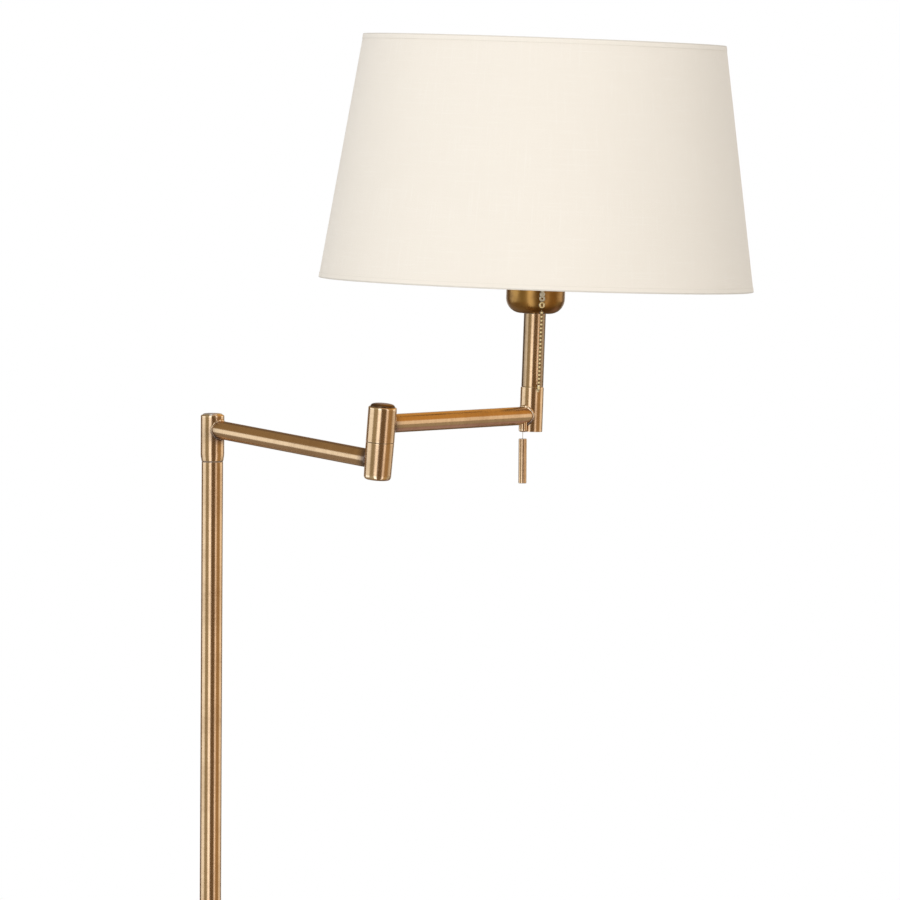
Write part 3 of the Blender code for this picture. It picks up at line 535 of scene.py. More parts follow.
iron = grained(
    "primed_iron", "cast_iron", light=(0.11, 0.10, 0.10), dark=(0.03, 0.03, 0.03), grains=420.0,
    contrast=1.4, strength=0.8, depth=0.0006, gloss=0.78, Metallic=0.5,
)
zinc = grained(
    "zinc_plate", "zinc_steel", light=(0.62, 0.62, 0.64), dark=(0.36, 0.37, 0.40), grains=900.0,
    contrast=1.0, strength=0.15, depth=0.00006, gloss=0.34, Metallic=1.0,
)
fibre = grained(
    "oiled_fibre", "black_plastic", light=(0.34, 0.22, 0.12), dark=(0.20, 0.12, 0.06), grains=1600.0,
    contrast=1.0, strength=0.3, depth=0.00005, gloss=0.6,
)
plain_brass = brass(
    "turned_brass", "aged_brass", fresh=(0.62, 0.43, 0.20), dull=(0.36, 0.22, 0.09),
    burnt=(0.16, 0.10, 0.07), rubbed=(0.80, 0.62, 0.36), gloss=0.26, patches=60.0, amount=0.5,
    fineness=2600.0, edge_shade=0.2,
)
refinish(iron, "base_weight")
refinish(zinc, "base_stud", "base_washer", "base_nut", "pole_spindle", "pole_spindle_nut")
refinish(zinc, "elbow_spindle", "elbow_spring_washer", "elbow_nut", "head_nipple", "head_locknut")
refinish(fibre, "pole_friction_washer", "elbow_friction_washer")
refinish(plain_brass, "pole_foot_plug", "pole_coupler", "head_coupler", "head_tube_plug")

# Pole: two lengths of drawn tube, met on an inner coupler, standing in a turned collar.
# The tube is brushed round and round, toned and lacquered like the plate.
tube_low, tube_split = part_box("pole_lower")
tube_joint, tube_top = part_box("pole_upper")
pole_radius = tube_split.x
pole_wall = 0.0011
pole_bore = pole_radius - pole_wall
slip = 0.0002


def tube(name, radius, bore, low, high, place, body, finish, *nodes):
    """A plain tube along local Z, its ends just broken."""
    return turned(name, plain_ring(bore, radius, low, high, 0.0002), place, body, finish, *nodes)


pole_ends = {"lower": (tube_low.z, tube_split.z), "upper": (tube_joint.z, tube_top.z)}
for label, ends in pole_ends.items():
    size = (pole_radius, pole_bore, *ends)
    tube(f"pole_length_{label}", *size, ground, "stand", bronzed_brass, f"pole_{label}")
collar_low, collar_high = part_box("pole_collar")
collar_radius = collar_high.x
collar_bore = pole_radius + slip
collar_outline = [
    (collar_bore, collar_low.z), (collar_radius, collar_low.z, 0.0003),
    (collar_radius, collar_low.z + 0.0052, 0.0022), (pole_radius + 0.0022, collar_high.z, 0.0012),
    (collar_bore, collar_high.z),
]
turned("foot_collar", collar_outline, ground, "stand", bronzed_brass, "pole_collar")

# Swivel on the pole: a sleeve with a tapered skirt that turns on the pole's spindle, and
# a thin polished disc pressed into its top.
arm_root = Matrix.Translation(joints["pole_swivel"]["pos_m"])
sleeve_low, sleeve_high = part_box("pole_sleeve")
sleeve_radius = sleeve_high.x
sleeve_bore = 0.0096
sleeve_below = arm_root.translation.z - sleeve_low.z
sleeve_above = sleeve_high.z - arm_root.translation.z
skirt_taper = 0.0008
skirt_height = 0.0055
elbow_place = Vector(joints["elbow_swivel"]["pos_m"])
elbow_axis = Vector(joints["elbow_swivel"]["axis"]).normalized()
arm_radius = 0.0085


def joint_mark_and_shade(place, start, stop, reach=0.008):
    """How dark an arm's joint marks a post: a brazing mark, and painted shade under the arm."""
    inwards = place.inverted()
    way = (inwards.to_3x3() @ (Vector(stop) - Vector(start))).normalized()
    root = inwards @ Vector(start)

    def stain_and_shade(point):
        away = point - root
        if away.dot(way) < 0:
            return 0.0
        side = away - way * away.dot(way)
        near = 1 - abs(side.length - arm_radius) / reach
        below = max(-side.z / side.length, 0.0)
        return max(near, 0.0) ** 1.5 * (0.15 + 0.85 * below)

    return stain_and_shade


def plain_wall(radius, low, high, steps=16):
    """Points up a plain wall, close enough together to carry a stain."""
    return [(radius, low + (high - low) * step / steps) for step in range(steps + 1)]


sleeve_outline = [
    (sleeve_bore, -sleeve_below), (sleeve_radius - skirt_taper, -sleeve_below, 0.0002),
    *plain_wall(sleeve_radius, skirt_height - sleeve_below, sleeve_above - 0.0030),
    (sleeve_radius, sleeve_above, 0.0012), (sleeve_bore, sleeve_above, 0.0001),
]
# The sleeve darkens round the lower arm's joint: a brazing mark, and painted shade beneath the arm.
sleeve_mark_and_shade = joint_mark_and_shade(arm_root, arm_root.translation, elbow_place)
turned(
    "swivel_sleeve", sleeve_outline, arm_root, "lower_arm", bronzed_brass, "pole_sleeve",
    darkening=sleeve_mark_and_shade,
)
polished_disc = grained(
    "polished_disc", "zinc_steel", light=(0.80, 0.76, 0.72), dark=(0.62, 0.56, 0.50), grains=500.0,
    contrast=0.8, strength=0.05, depth=0.00005, gloss=0.24, Metallic=1.0,
)


def dome(radius, low, rise, steps=14):
    """Points of a low dome with a flattened crown and a soft shoulder, from its rim up."""
    angles = [math.pi / 2 * step / steps for step in range(steps + 1)]
    return [(radius * math.cos(a) ** 0.5, low + rise * math.sin(a) ** 0.6) for a in angles[:-1]] + [
        (0, low + rise)
    ]


disc_radius = sleeve_bore - slip
disc_outline = [
    (0, sleeve_above - 0.0020), (disc_radius, sleeve_above - 0.0020),
    *dome(disc_radius, sleeve_above - 0.0006, 0.0022),
]
turned("swivel_disc", disc_outline, arm_root, "lower_arm", polished_disc, "pole_sleeve_cap")


# Lower arm: thin tube, cut to a fish mouth at both ends and brazed to the swivel sleeve
# and to the elbow. Heat has darkened the tone for a finger's width beside each joint.
def stand_at(place, axis, along):
    """A frame at a place, with Z up an axis and X as near as it can be to a direction."""
    z = Vector(axis).normalized()
    y = z.cross(Vector(along)).normalized()
    return Matrix.Translation(place) @ Matrix((y.cross(z), y, z)).transposed().to_4x4()


lower_way = elbow_place - arm_root.translation
elbow = stand_at(elbow_place, elbow_axis, lower_way)
arm_wall = 0.0010
elbow_radius = 0.0130
arm_sides = 96
braze_radius = 0.0011


def mouth(start, way, post, post_radius, far):
    """How far along an arm each of its sides meets a round post."""
    axis = post.col[2].to_3d()
    offset = start - post.translation
    offset -= axis * offset.dot(axis)
    slope = way - axis * way.dot(axis)
    a = slope.dot(slope)
    b = slope.dot(offset)
    root = math.sqrt(b * b - a * (offset.dot(offset) - post_radius**2))
    return (-b - root if far else -b + root) / a


def arm(name, place, length, near, far, body, node_name):
    """A tube along local Z from one round post to another.

    Near and far are (post, its radius, how much brazing marked the tube there).
    """
    way = place.col[2].to_3d()
    ends = []
    for radius in (arm_radius, arm_radius - arm_wall):
        circle = []
        for i in range(arm_sides):
            angle = math.tau * i / arm_sides
            side = Vector((radius * math.cos(angle), radius * math.sin(angle), 0))
            low = mouth(place @ side, way, *near[:2], far=False)
            high = mouth(place @ side, way, *far[:2], far=True)
            circle.append((side, low, high))
        ends.append(circle)
    rings = []
    fading = ((0.0, 1.0), (0.0010, 1.0), (0.0030, 0.85), (0.0055, 0.4), (0.011, 0.0))
    for offset, darkening in fading:
        stain_and_shade = darkening * near[2]
        rings.append([(side + up(low + offset), 0.0, stain_and_shade) for side, low, high in ends[0]])
    for share in (0.2, 0.35, 0.5, 0.65, 0.8):
        rings.append([(side + up(length * share), 0.0, 0.0) for side, low, high in ends[0]])
    for offset, darkening in fading[::-1]:
        stain_and_shade = darkening * far[2]
        rings.append([(side + up(high - offset), 0.0, stain_and_shade) for side, low, high in ends[0]])
    rings.append([(side + up(high), 0.0, 1.0) for side, low, high in ends[1]])
    rings.append([(side + up(low), 0.0, 1.0) for side, low, high in ends[1]])
    fit(name, skin(name, rings), place, body, bronzed_brass, node_name)
    for label, end, darkening in (("near", 1, near[2]), ("far", 2, far[2])):
        bead = []
        for side in ends[0]:
            centre = side[0] + up(side[end])
            out = side[0].normalized()
            bead.append((centre, out))
        braze(f"{name}_braze_{label}", bead, darkening, place, body)


def braze(name, bead, darkening, place, body):
    """The braze bead round a joint: painted highlight above, painted shade below, dark where hottest."""
    rows = []
    upright = place.to_3x3()
    for i in range(10):
        angle = math.tau * i / 10
        row = []
        for number, (centre, out) in enumerate(bead):
            swell = 1.0 + 0.16 * math.sin(0.9 * number) * math.sin(0.23 * number + 1.0)
            size = braze_radius * swell * (1.4 - 0.5 * darkening)
            point = centre + out * size * math.cos(angle) + up(size * math.sin(angle))
            # Painted highlight along the bead's upper side, painted shade under it.
            rubbed = min(max(0.7 + (upright @ out).z, 0.0), 1.0) * (1.0 - darkening)
            row.append((point, rubbed, 1.0 - rubbed))
        rows.append(row)
    fit(name, skin(name, rows), place, body, bronzed_brass)


lower_along = stand_at(arm_root.translation, lower_way, elbow_axis)
arm(
    "arm_tube_lower", lower_along, lower_way.length, (arm_root, sleeve_radius, 0.3),
    (elbow, elbow_radius, 1.0), "lower_arm", "lower_arm_tube",
)

# Elbow: two turned brass cups that face each other on a hollow spindle, the upper one
# closed by a domed lid that sits in a dark groove inside its rim.
elbow_bore = 0.0114
elbow_seam = 0.0165
elbow_below = 0.0343
elbow_above = 0.0322
elbow_low = elbow_seam - elbow_below
elbow_high = elbow_seam + elbow_above
seam_half = 0.00015
lower_cup_outline = [
    (0, elbow_low), (elbow_radius - 0.0006, elbow_low, 0.0030),
    (elbow_radius, elbow_seam - seam_half, 0.0004), (elbow_bore, elbow_seam - seam_half),
    (elbow_bore, elbow_low + 0.0026), (0, elbow_low + 0.0022),
]
turned("elbow_cup_lower", lower_cup_outline, elbow, "lower_arm", bronzed_brass, "elbow_lower_half")
spindle_hole = 0.0053
floor_low = elbow_seam + 0.0007
floor_high = elbow_seam + 0.0037
upper_cup_outline = [
    (spindle_hole, floor_low), (elbow_bore, floor_low),
    (elbow_bore, elbow_seam + seam_half), (elbow_radius, elbow_seam + seam_half, 0.0004),
    (elbow_radius, elbow_high, 0.0012), (elbow_bore, elbow_high, 0.0002),
    (elbow_bore, floor_high), (spindle_hole, floor_high),
]
turned("elbow_cup_upper", upper_cup_outline, elbow, "upper_arm", bronzed_brass, "elbow_upper_half")
antique_brass = brass(
    "antique_brass", "aged_brass", fresh=(0.40, 0.205, 0.050), dull=(0.24, 0.120, 0.030),
    burnt=(0.12, 0.07, 0.04), rubbed=(0.66, 0.46, 0.22), gloss=0.24, patches=70.0, amount=0.55,
    fineness=2400.0, edge_shade=0.15, Coat_Weight=0.15, Coat_Roughness=0.2,
)
lid_radius = elbow_bore - slip
lid_outline = [
    (0, elbow_high - 0.0024), (lid_radius, elbow_high - 0.0024),
    *dome(lid_radius, elbow_high - 0.0009, 0.0040),
]


def lid_darkening(point):
    """Darker over the whole lid, and darkest towards its rim in the groove."""
    return min(0.4 + max(point.xy.length - 0.0084, 0.0) / 0.0040, 1.0)


turned("elbow_lid", lid_outline, elbow, "upper_arm", antique_brass, "elbow_cap", darkening=lid_darkening)

# Upper arm: the same thin brass tube again, cut to a fish mouth at both ends and brazed
# between the elbow's upper cup and the head's sleeve.
head_axis = -Vector(joints["switch_slide"]["axis"]).normalized()
socket_low, socket_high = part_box("head_sleeve")
socket_below = 0.0150
socket_above = 0.0265
socket_radius = 0.0108
socket_bore = 0.0096
socket_middle = (socket_low + socket_high) / 2
head_place = socket_middle - head_axis * (socket_above - socket_below) / 2
head = stand_at(head_place, head_axis, (1, 0, 0))
upper_start = elbow @ up(2 * elbow_seam)
upper_way = head_place - upper_start
upper_along = stand_at(upper_start, upper_way, elbow_axis)
arm(
    "arm_tube_upper", upper_along, upper_way.length, (elbow, elbow_radius, 0.5),
    (head, socket_radius, 0.1), "upper_arm", "upper_arm_tube",
)

# Head sleeve: a short tube closed by a plug below, with a bright top edge and, beside
# the arm, a small turned boss where the switch's line comes out.
def on_head(name, outline, finish, *nodes, **values):
    """A turned piece of the head, at its height on the stem's own axis."""
    return turned(name, outline, head, "upper_arm", finish, *nodes, **values)


plug_thick = 0.0025
socket_outline = plain_ring(socket_bore, socket_radius, -socket_below, socket_above, 0.0004, 0.0005)
on_head("head_socket", socket_outline, bronzed_brass, "head_sleeve")
plug_radius = socket_bore - slip
plug_top = -socket_below + plug_thick
plug_outline = [
    (0, -socket_below), (plug_radius, -socket_below, 0.0003), (plug_radius, plug_top), (0, plug_top),
]
on_head("head_socket_plug", plug_outline, bronzed_brass, "head_sleeve_plug")
guide_x = -0.0075
guide_y = -0.0131
guide_radius = 0.0039
guide_bore = 0.0016
guide_root = 0.0042
guide_outline = [
    (guide_bore, -guide_root), (guide_bore, -socket_below, 0.0004),
    (guide_radius, -socket_below, 0.0018), (guide_radius, -guide_root),
]
guide_place = head @ shift(guide_x, guide_y)
turned("line_guide", guide_outline, guide_place, "upper_arm", bronzed_brass, "thread_guide", sides=64)

# Stem and cup: a plain tube rises from the sleeve to a spun cup that hides the lampholder's
# foot. The cup is darker, aged before it was lacquered, with the spinning tool's rings.
stem_radius = 0.0102
stem_bore = 0.0090
cup_bottom = 0.0950
cup_top = 0.1200
cup_radius = 0.0273
cup_wall = 0.0012
cup_corner = 0.0140
stem_ends = (socket_above + 0.0003, cup_bottom - 0.0003)
# The stem's brass is a copy with far more edge shade: painted shade where it is seen edge on.
shaded_stem_brass = brass("shaded_stem_brass", gloss=0.18, fineness=5200.0, edge_shade=0.6, Coat_Weight=0.05, **bronze_tones)
tube("head_stem", stem_radius, stem_bore, *stem_ends, head, "upper_arm", shaded_stem_brass, "head_tube")
nipple_hole = 0.0053
cup_outline = [(nipple_hole, cup_bottom)]
cup_outline += arc(cup_radius - cup_corner, cup_bottom + cup_corner, cup_corner, -90, 0, 20)
cup_outline += [(cup_radius, cup_top, 0.0005), (cup_radius - cup_wall, cup_top, 0.0004)]
inner_corner = cup_corner - cup_wall
cup_outline += arc(cup_radius - cup_corner, cup_bottom + cup_corner, inner_corner, 0, -90, 16)
cup_outline += [(nipple_hole, cup_bottom + cup_wall)]
on_head("spun_cup", cup_outline, antique_brass, "head_cup", sides=144)

# Lampholder: a moulded base shell whose side arm carries the pull switch, a threaded body,
# and two ribbed ring nuts that grip the shade's fitter.
bakelite = grained(
    "black_moulding", "black_plastic", light=(0.030, 0.028, 0.027), dark=(0.012, 0.011, 0.011),
    grains=1500.0, contrast=0.9, strength=0.12, depth=0.00006, gloss=0.32, Coat_Weight=0.2,
    Coat_Roughness=0.2,
)
holder_radius = 0.0195
holder_wall = 0.0020
holder_bottom = 0.1010
holder_split = 0.1320
holder_top = 0.1720
holder_outline = [
    (nipple_hole, holder_bottom), (holder_radius, holder_bottom, 0.0040),
    (holder_radius, holder_split, 0.0004), (holder_radius - holder_wall, holder_split),
    (holder_radius - holder_wall, holder_bottom + 0.0030), (nipple_hole, holder_bottom + 0.0030),
]
on_head("holder_shell", holder_outline, bakelite, "lampholder_base")
pull_x = 0.00575
pull_front = 0.0308
switch_reach = math.hypot(pull_x, pull_front)
switch_low = 0.1225
switch_high = 0.1305
switch_half = 0.0038
switch_frame = head @ turn(math.atan2(-pull_front, pull_x), "Z")
switch_start = holder_radius - 0.0008
switch_shape = bmesh.new()
nose = arc(switch_reach, 0, switch_half, -90, 90, 20)
rim = [(switch_start, -switch_half), *nose, (switch_start, switch_half)]
face = switch_shape.faces.new([switch_shape.verts.new((x, y, switch_low)) for x, y in rim])
grown = bmesh.ops.extrude_face_region(switch_shape, geom=[face])["geom"]
lifted = [item for item in grown if isinstance(item, bmesh.types.BMVert)]
bmesh.ops.translate(switch_shape, verts=lifted, vec=(0, 0, switch_high - switch_low))
rims = [edge for edge in switch_shape.edges if abs(edge.verts[0].co.z - edge.verts[1].co.z) < 1e-6]
bmesh.ops.bevel(switch_shape, geom=rims, offset=0.0006, segments=3, affect="EDGES")
bmesh.ops.recalc_face_normals(switch_shape, faces=switch_shape.faces)
switch_mesh = bpy.data.meshes.new("switch_arm")
switch_shape.to_mesh(switch_mesh)
switch_shape.free()
switch_mesh.shade_smooth()
switch_mesh.set_sharp_from_angle(angle=math.radians(40))
fit("switch_arm", switch_mesh, switch_frame, "upper_arm", bakelite)

thread_pitch = 0.0025
thread_depth = 0.0006
holder_bore = 0.0160


def thread(depth, pitch, height, angle):
    """How far a rounded screw thread moves a wall, at a height and an angle."""
    return -depth * (0.5 + 0.5 * math.cos(math.tau * height / pitch - angle))


def holder_thread(radius, height, angle):
    """The screw thread cut into the body's outer wall."""
    if radius < holder_radius - 0.0003 or not holder_split + 0.002 < height < holder_top - 0.0015:
        return 0.0
    return thread(thread_depth, thread_pitch, height, angle)


thread_rise = holder_top - holder_split - 0.003
heights = [holder_split + 0.0015 + thread_rise * i / 110 for i in range(111)]
spigot_radius = holder_radius - holder_wall - 0.0003
spigot_low = holder_split - 0.0060
body_outline = [
    (holder_bore, spigot_low), (spigot_radius, spigot_low), (spigot_radius, holder_split + 0.0003),
    (holder_radius, holder_split + 0.0003, 0.0003), *[(holder_radius, height) for height in heights],
    (holder_radius, holder_top, 0.0008), (holder_bore, holder_top, 0.0004),
]
on_head("holder_body", body_outline, bakelite, "lampholder_body", relief=holder_thread)
fitter_low = 0.1500
fitter_high = 0.1515
nut_radius = 0.0265
nut_height = 0.0060
nut_ribs = 36
fitter_bore = holder_radius + 0.0003


def square_ring(outer, low, high, edge):
    """Outline of a flat ring round the lampholder's body."""
    inner_edge = 0.0003
    rim = [(outer, low, edge), (outer, high, edge)]
    return [(fitter_bore, low, inner_edge), *rim, (fitter_bore, high, inner_edge)]


def nut_rib(radius, height, angle):
    """Soft finger ribs round a ring nut's rim."""
    return -0.0005 * abs(math.sin(nut_ribs * angle / 2)) if radius > nut_radius - 0.001 else 0.0


for label, low in (("lower", fitter_low - nut_height), ("upper", fitter_high + 0.0003)):
    high = low + nut_height - 0.0003
    nut_outline = square_ring(nut_radius, low, high, 0.0007)
    node_name = f"shade_nut_{label}"
    on_head(f"ring_nut_{label}", nut_outline, bakelite, node_name, sides=216, relief=nut_rib)
nylon = grained(
    "natural_nylon", "white_nylon", light=(0.86, 0.84, 0.80), dark=(0.70, 0.67, 0.61), grains=700.0,
    contrast=0.6, strength=0.08, depth=0.00004, gloss=0.34, Subsurface_Weight=0.15,
    Subsurface_Radius=(0.001, 0.001, 0.001),
)
refinish(nylon, "contact_block")
refinish(plain_brass, "screw_shell")

# Bulb: a plated screw cap with a coarse thread rolled into it, cemented to the neck of a
# blown globe of opal glass.
cap_low = holder_split + 0.0090
cap_high = holder_top + 0.0010
cap_radius = 0.0131
globe_top = 0.2560
globe_radius = 0.0300
globe_wall = 0.0009
cap_thread_depth = 0.0009
cap_thread_pitch = 0.0036


def cap_thread(radius, height, angle):
    """The coarse rounded thread rolled into the cap."""
    if radius < cap_radius - 0.0002 or height > cap_high - 0.004:
        return 0.0
    return thread(cap_thread_depth, cap_thread_pitch, height, angle)


cap_rise = cap_high - cap_low - 0.0085
cap_outline = [
    (0, cap_low), (0.0045, cap_low, 0.0005), (0.0050, cap_low + 0.0020),
    (0.0105, cap_low + 0.0060, 0.0006), (cap_radius, cap_low + 0.0075, 0.0004),
    *[(cap_radius, cap_low + 0.0080 + cap_rise * i / 60) for i in range(61)], (cap_radius, cap_high),
    (0, cap_high),
]
on_head("bulb_screw_cap", cap_outline, zinc, "bulb_cap", relief=cap_thread)
opal = grained(
    "opal_glass_white", "opal_glass", light=(0.93, 0.93, 0.91), dark=(0.86, 0.86, 0.84), grains=45.0,
    contrast=0.5, strength=0.02, depth=0.0002, gloss=0.14, swing=0.04, Subsurface_Weight=0.3,
    Subsurface_Radius=(0.004, 0.004, 0.004), Coat_Weight=0.4, Coat_Roughness=0.05,
)


def globe_outline(inset):
    """The glass from its neck, out round the globe and over its crown."""
    middle = globe_top - globe_radius
    neck = cap_radius - 0.0004 - inset
    low = cap_high + 0.0003
    flare = [(neck, low), (neck, low + 0.006), (neck + 0.0010, low + 0.011), (neck + 0.004, low + 0.018)]
    return flare + arc(0, middle, globe_radius - inset, -42, 90, 36)


glass = globe_outline(0) + globe_outline(globe_wall)[::-1]
on_head("bulb_globe", glass, opal, "bulb_glass")

# Shade: two wire rings and three spokes carry a tapered wall, a cream cotton cloth glued
# to a white stiff lining. Each rim is finished with a narrow tape of the same cloth, and
# the cloth overlaps itself in one glued seam at the back.
shade_bottom = 0.1217
shade_top = 0.3489
shade_bottom_radius = 0.2020
shade_top_radius = 0.1683
cloth_thick = 0.0004
lining_thick = 0.0006
seam_overlap = 0.010
seam_step = 0.00035


def shade_radius(height):
    """The cloth's outer radius at a height."""
    share = (height - shade_bottom) / (shade_top - shade_bottom)
    return shade_bottom_radius + share * (shade_top_radius - shade_bottom_radius)


def weave():
    """Plain weave: threads that cross over and under, with slubs where one runs thick."""
    inputs = ["Place", "Threads", "Slubs"]
    tree, given, made = group("plain_weave", inputs, ["Height", "Tone", "Slub"])
    across, upright = node(tree, "SeparateXYZ", {0: given["Place"]}).outputs[:2]
    waves = []
    for run in (across, upright):
        turns = maths(tree, "MULTIPLY", maths(tree, "MULTIPLY", run, given["Threads"]), math.tau / 2)
        waves.append(maths(tree, "SINE", turns))
    crossing = maths(tree, "MULTIPLY", waves[0], waves[1])
    rounds = [maths(tree, "ABSOLUTE", wave) for wave in waves]
    over = maths(tree, "MULTIPLY", stepped(tree, crossing, -0.2, 0.2), rounds[0])
    under = maths(tree, "MULTIPLY", stepped(tree, crossing, 0.2, -0.2), rounds[1])
    woven = maths(tree, "MAXIMUM", over, under)
    streaks = []
    for squeeze in ((1.0, 0.035, 1.0), (0.035, 1.0, 1.0)):
        feeds = {0: given["Place"], 1: squeeze}
        stretched = node(tree, "VectorMath", feeds, operation="MULTIPLY").outputs[0]
        streaks.append(stepped(tree, noise(tree, stretched, given["Slubs"], 3.0, 0.6), 0.52, 0.78))
    slub = node(tree, "Math", {0: streaks[0], 1: streaks[1]}, operation="ADD", use_clamp=True).outputs[0]
    relief = maths(tree, "MULTIPLY_ADD", slub, 0.35, woven)
    return lead_out(tree, made, Height=relief, Tone=woven, Slub=slub)


weave_group = weave()


def cloth(name, slot, thread, gap, slub_tone, fold_shade, threads, slubs, **values):
    """Woven cloth laid on a surface by its flat pattern, in metres."""
    made, tree, surface, place = material(name, slot, **values)
    flat = node(tree, "UVMap", uv_map="pattern").outputs[0]
    weft = effect(tree, weave_group, Place=flat, Threads=threads, Slubs=slubs)
    clouds = effect(tree, speckle_group, Place=place, Grains=9.0, Contrast=1.4)["Tone"]
    woven = mixed(tree, weft["Tone"], gap, thread)
    cast = maths(tree, "MULTIPLY", weft["Slub"], 0.35)
    lit = mixed(tree, cast, woven, slub_tone)
    # The folded rims of the tapes are darkened as painted shade.
    edge = node(tree, "Attribute", attribute_name="edge").outputs["Fac"]
    lit = mixed(tree, stepped(tree, edge, 0.2, 0.9, 0.0, 0.8), lit, fold_shade)
    tree.links.new(mixed(tree, maths(tree, "MULTIPLY", clouds, 0.25), lit, gap), surface["Base Color"])
    tree.links.new(maths(tree, "MULTIPLY_ADD", weft["Tone"], -0.1, 0.92), surface["Roughness"])
    bump(tree, surface, weft["Height"], 0.5, 0.00012)
    return made


cream_cotton = cloth(
    "cream_cotton", "shade_fabric", thread=(0.905, 0.850, 0.765), gap=(0.80, 0.73, 0.63),
    slub_tone=(0.93, 0.885, 0.81), fold_shade=(0.64, 0.60, 0.53), threads=2400.0, slubs=520.0,
    Sheen_Weight=0.15, Sheen_Roughness=0.5,
)
white_lining = grained(
    "white_lining", "shade_fabric", light=(0.90, 0.89, 0.87), dark=(0.84, 0.83, 0.80), grains=800.0,
    contrast=0.5, strength=0.15, depth=0.00008, gloss=0.5,
)
powder_coat = grained(
    "white_powder_coat", "white_wire", light=(0.83, 0.83, 0.81), dark=(0.74, 0.74, 0.72), grains=1800.0,
    contrast=0.6, strength=0.3, depth=0.00008, gloss=0.42,
)


def seam(radius, height, angle):
    """The step where the cloth's end laps over its start, at the back."""
    if radius < shade_radius(height) - cloth_thick / 2:
        return 0.0
    run = (angle - math.pi / 2) * radius
    return seam_step if 0 <= run <= seam_overlap else 0.0


def lay_pattern(piece, middle_radius):
    """Give a shade piece the flat place, in metres, of each of its corners."""
    mesh = piece.data
    pattern = mesh.uv_layers.new(name="pattern")
    for face in mesh.polygons:
        spots = [mesh.vertices[mesh.loops[i].vertex_index].co for i in face.loop_indices]
        angles = [math.atan2(spot.x, -spot.y) for spot in spots]
        if max(angles) - min(angles) > math.pi:
            angles = [angle + math.tau if angle < 0 else angle for angle in angles]
        for i, spot, angle in zip(face.loop_indices, spots, angles):
            across = spot.xy.length - middle_radius
            pattern.data[i].uv = (angle * middle_radius, spot.z - across)


def band(low, high, outer, inner):
    """Outline of a wall between two heights, at insets from the cloth's outer face."""
    steps = 12
    levels = [low + (high - low) * i / steps for i in range(steps + 1)]
    outside = [(shade_radius(level) - outer, level) for level in levels]
    return outside + [(shade_radius(level) - inner, level) for level in levels[::-1]]


middle_radius = (shade_bottom_radius + shade_top_radius) / 2
wall_ends = (shade_bottom + 0.0004, shade_top - 0.0004)
wall = band(*wall_ends, 0.0, cloth_thick)
shade_cloth = on_head("shade_cloth", wall, cream_cotton, "shade_panel", sides=384, relief=seam)
lay_pattern(shade_cloth, middle_radius)
inset = cloth_thick + 0.00005
backing = band(*wall_ends, inset, inset + lining_thick)
shade_lining = on_head("shade_lining", backing, white_lining, sides=192)

tape_height = 0.0045
tape_thick = 0.0003
tape_turn = 0.0030
tape_inside = 0.0014
tape_lap = 0.00115
tape_glue = 0.00002


def tape(name, rim, inwards):
    """A narrow tape folded over a rim: down the outside, round the edge, up inside."""
    hem = rim + inwards * tape_height
    edge = rim - inwards * tape_thick
    tucked = rim + inwards * tape_turn
    fold = rim + inwards * 0.0001
    outer = [
        (shade_radius(hem) + tape_thick, hem, 0.0001), (shade_radius(rim) + tape_thick, edge, 0.0008),
        (shade_radius(rim) - tape_inside, edge, 0.0006), (shade_radius(tucked) - tape_inside, tucked),
        (shade_radius(tucked) - tape_lap, tucked), (shade_radius(rim) - tape_lap, fold),
        (shade_radius(rim) + tape_glue, fold), (shade_radius(hem) + tape_glue, hem),
    ]
    piece = on_head(name, outer, cream_cotton, sides=384)
    lay_pattern(piece, middle_radius)
    return piece


bottom_tape = tape("shade_tape_bottom", shade_bottom + 0.0003, 1)
top_tape = tape("shade_tape_top", shade_top - 0.0003, -1)
unmirrored = [shade_cloth, shade_lining, bottom_tape, top_tape]

round_wire = (0, 345, 15)
ring_wire = 0.0015
ring_inset = 0.0012 + ring_wire + 0.0003
ring_levels = {"bottom": shade_bottom + 0.0030, "top": shade_top - 0.0030}
for label, level in ring_levels.items():
    wire = arc(shade_radius(level) - ring_inset, level, ring_wire, *round_wire)
    node_name = f"shade_{label}_ring"
    unmirrored.append(on_head(f"frame_ring_{label}", wire, powder_coat, node_name, sides=192))
fitter_radius = 0.0290
fitter_outline = square_ring(fitter_radius, fitter_low, fitter_high, 0.0006)
on_head("fitter_ring", fitter_outline, powder_coat, "shade_fitter_ring")
spoke_inner = fitter_radius + slip
spoke_outer = shade_radius(ring_levels["bottom"]) - ring_inset - ring_wire * 0.6
weld = 0.0021
for number, angle in enumerate((90, 210, 330), start=1):
    around = turn(math.radians(angle), "Z")
    start = around @ Vector((spoke_inner, 0, (fitter_low + fitter_high) / 2))
    stop = around @ Vector((spoke_outer, 0, ring_levels["bottom"]))
    reach = (stop - start).length
    along = head @ stand_at(start, stop - start, (0, 0, 1))
    spoke_outline = [
        (0, -0.0004), (weld, 0.0004, 0.0006), (weld, 0.0030, 0.0008), (ring_wire, 0.0050),
        (ring_wire, reach - 0.0050), (weld, reach - 0.0030, 0.0008), (weld, reach - 0.0006, 0.0006),
        (0, reach),
    ]
    spoke = (f"spoke_{number}", spoke_outline, along, "upper_arm", powder_coat)
    unmirrored.append(turned(*spoke, f"shade_spoke_{number}", sides=32))
# The polished tubes mirror the studio, and not the shade or the fittings above them.
fittings = ["holder_shell", "switch_arm", "holder_body", "ring_nut_lower", "ring_nut_upper"]
fittings += ["bulb_screw_cap", "bulb_globe", "fitter_ring", "spun_cup", "head_stem"]
unmirrored += [bpy.data.objects[name] for name in fittings]
for piece in unmirrored:
    piece.visible_glossy = False
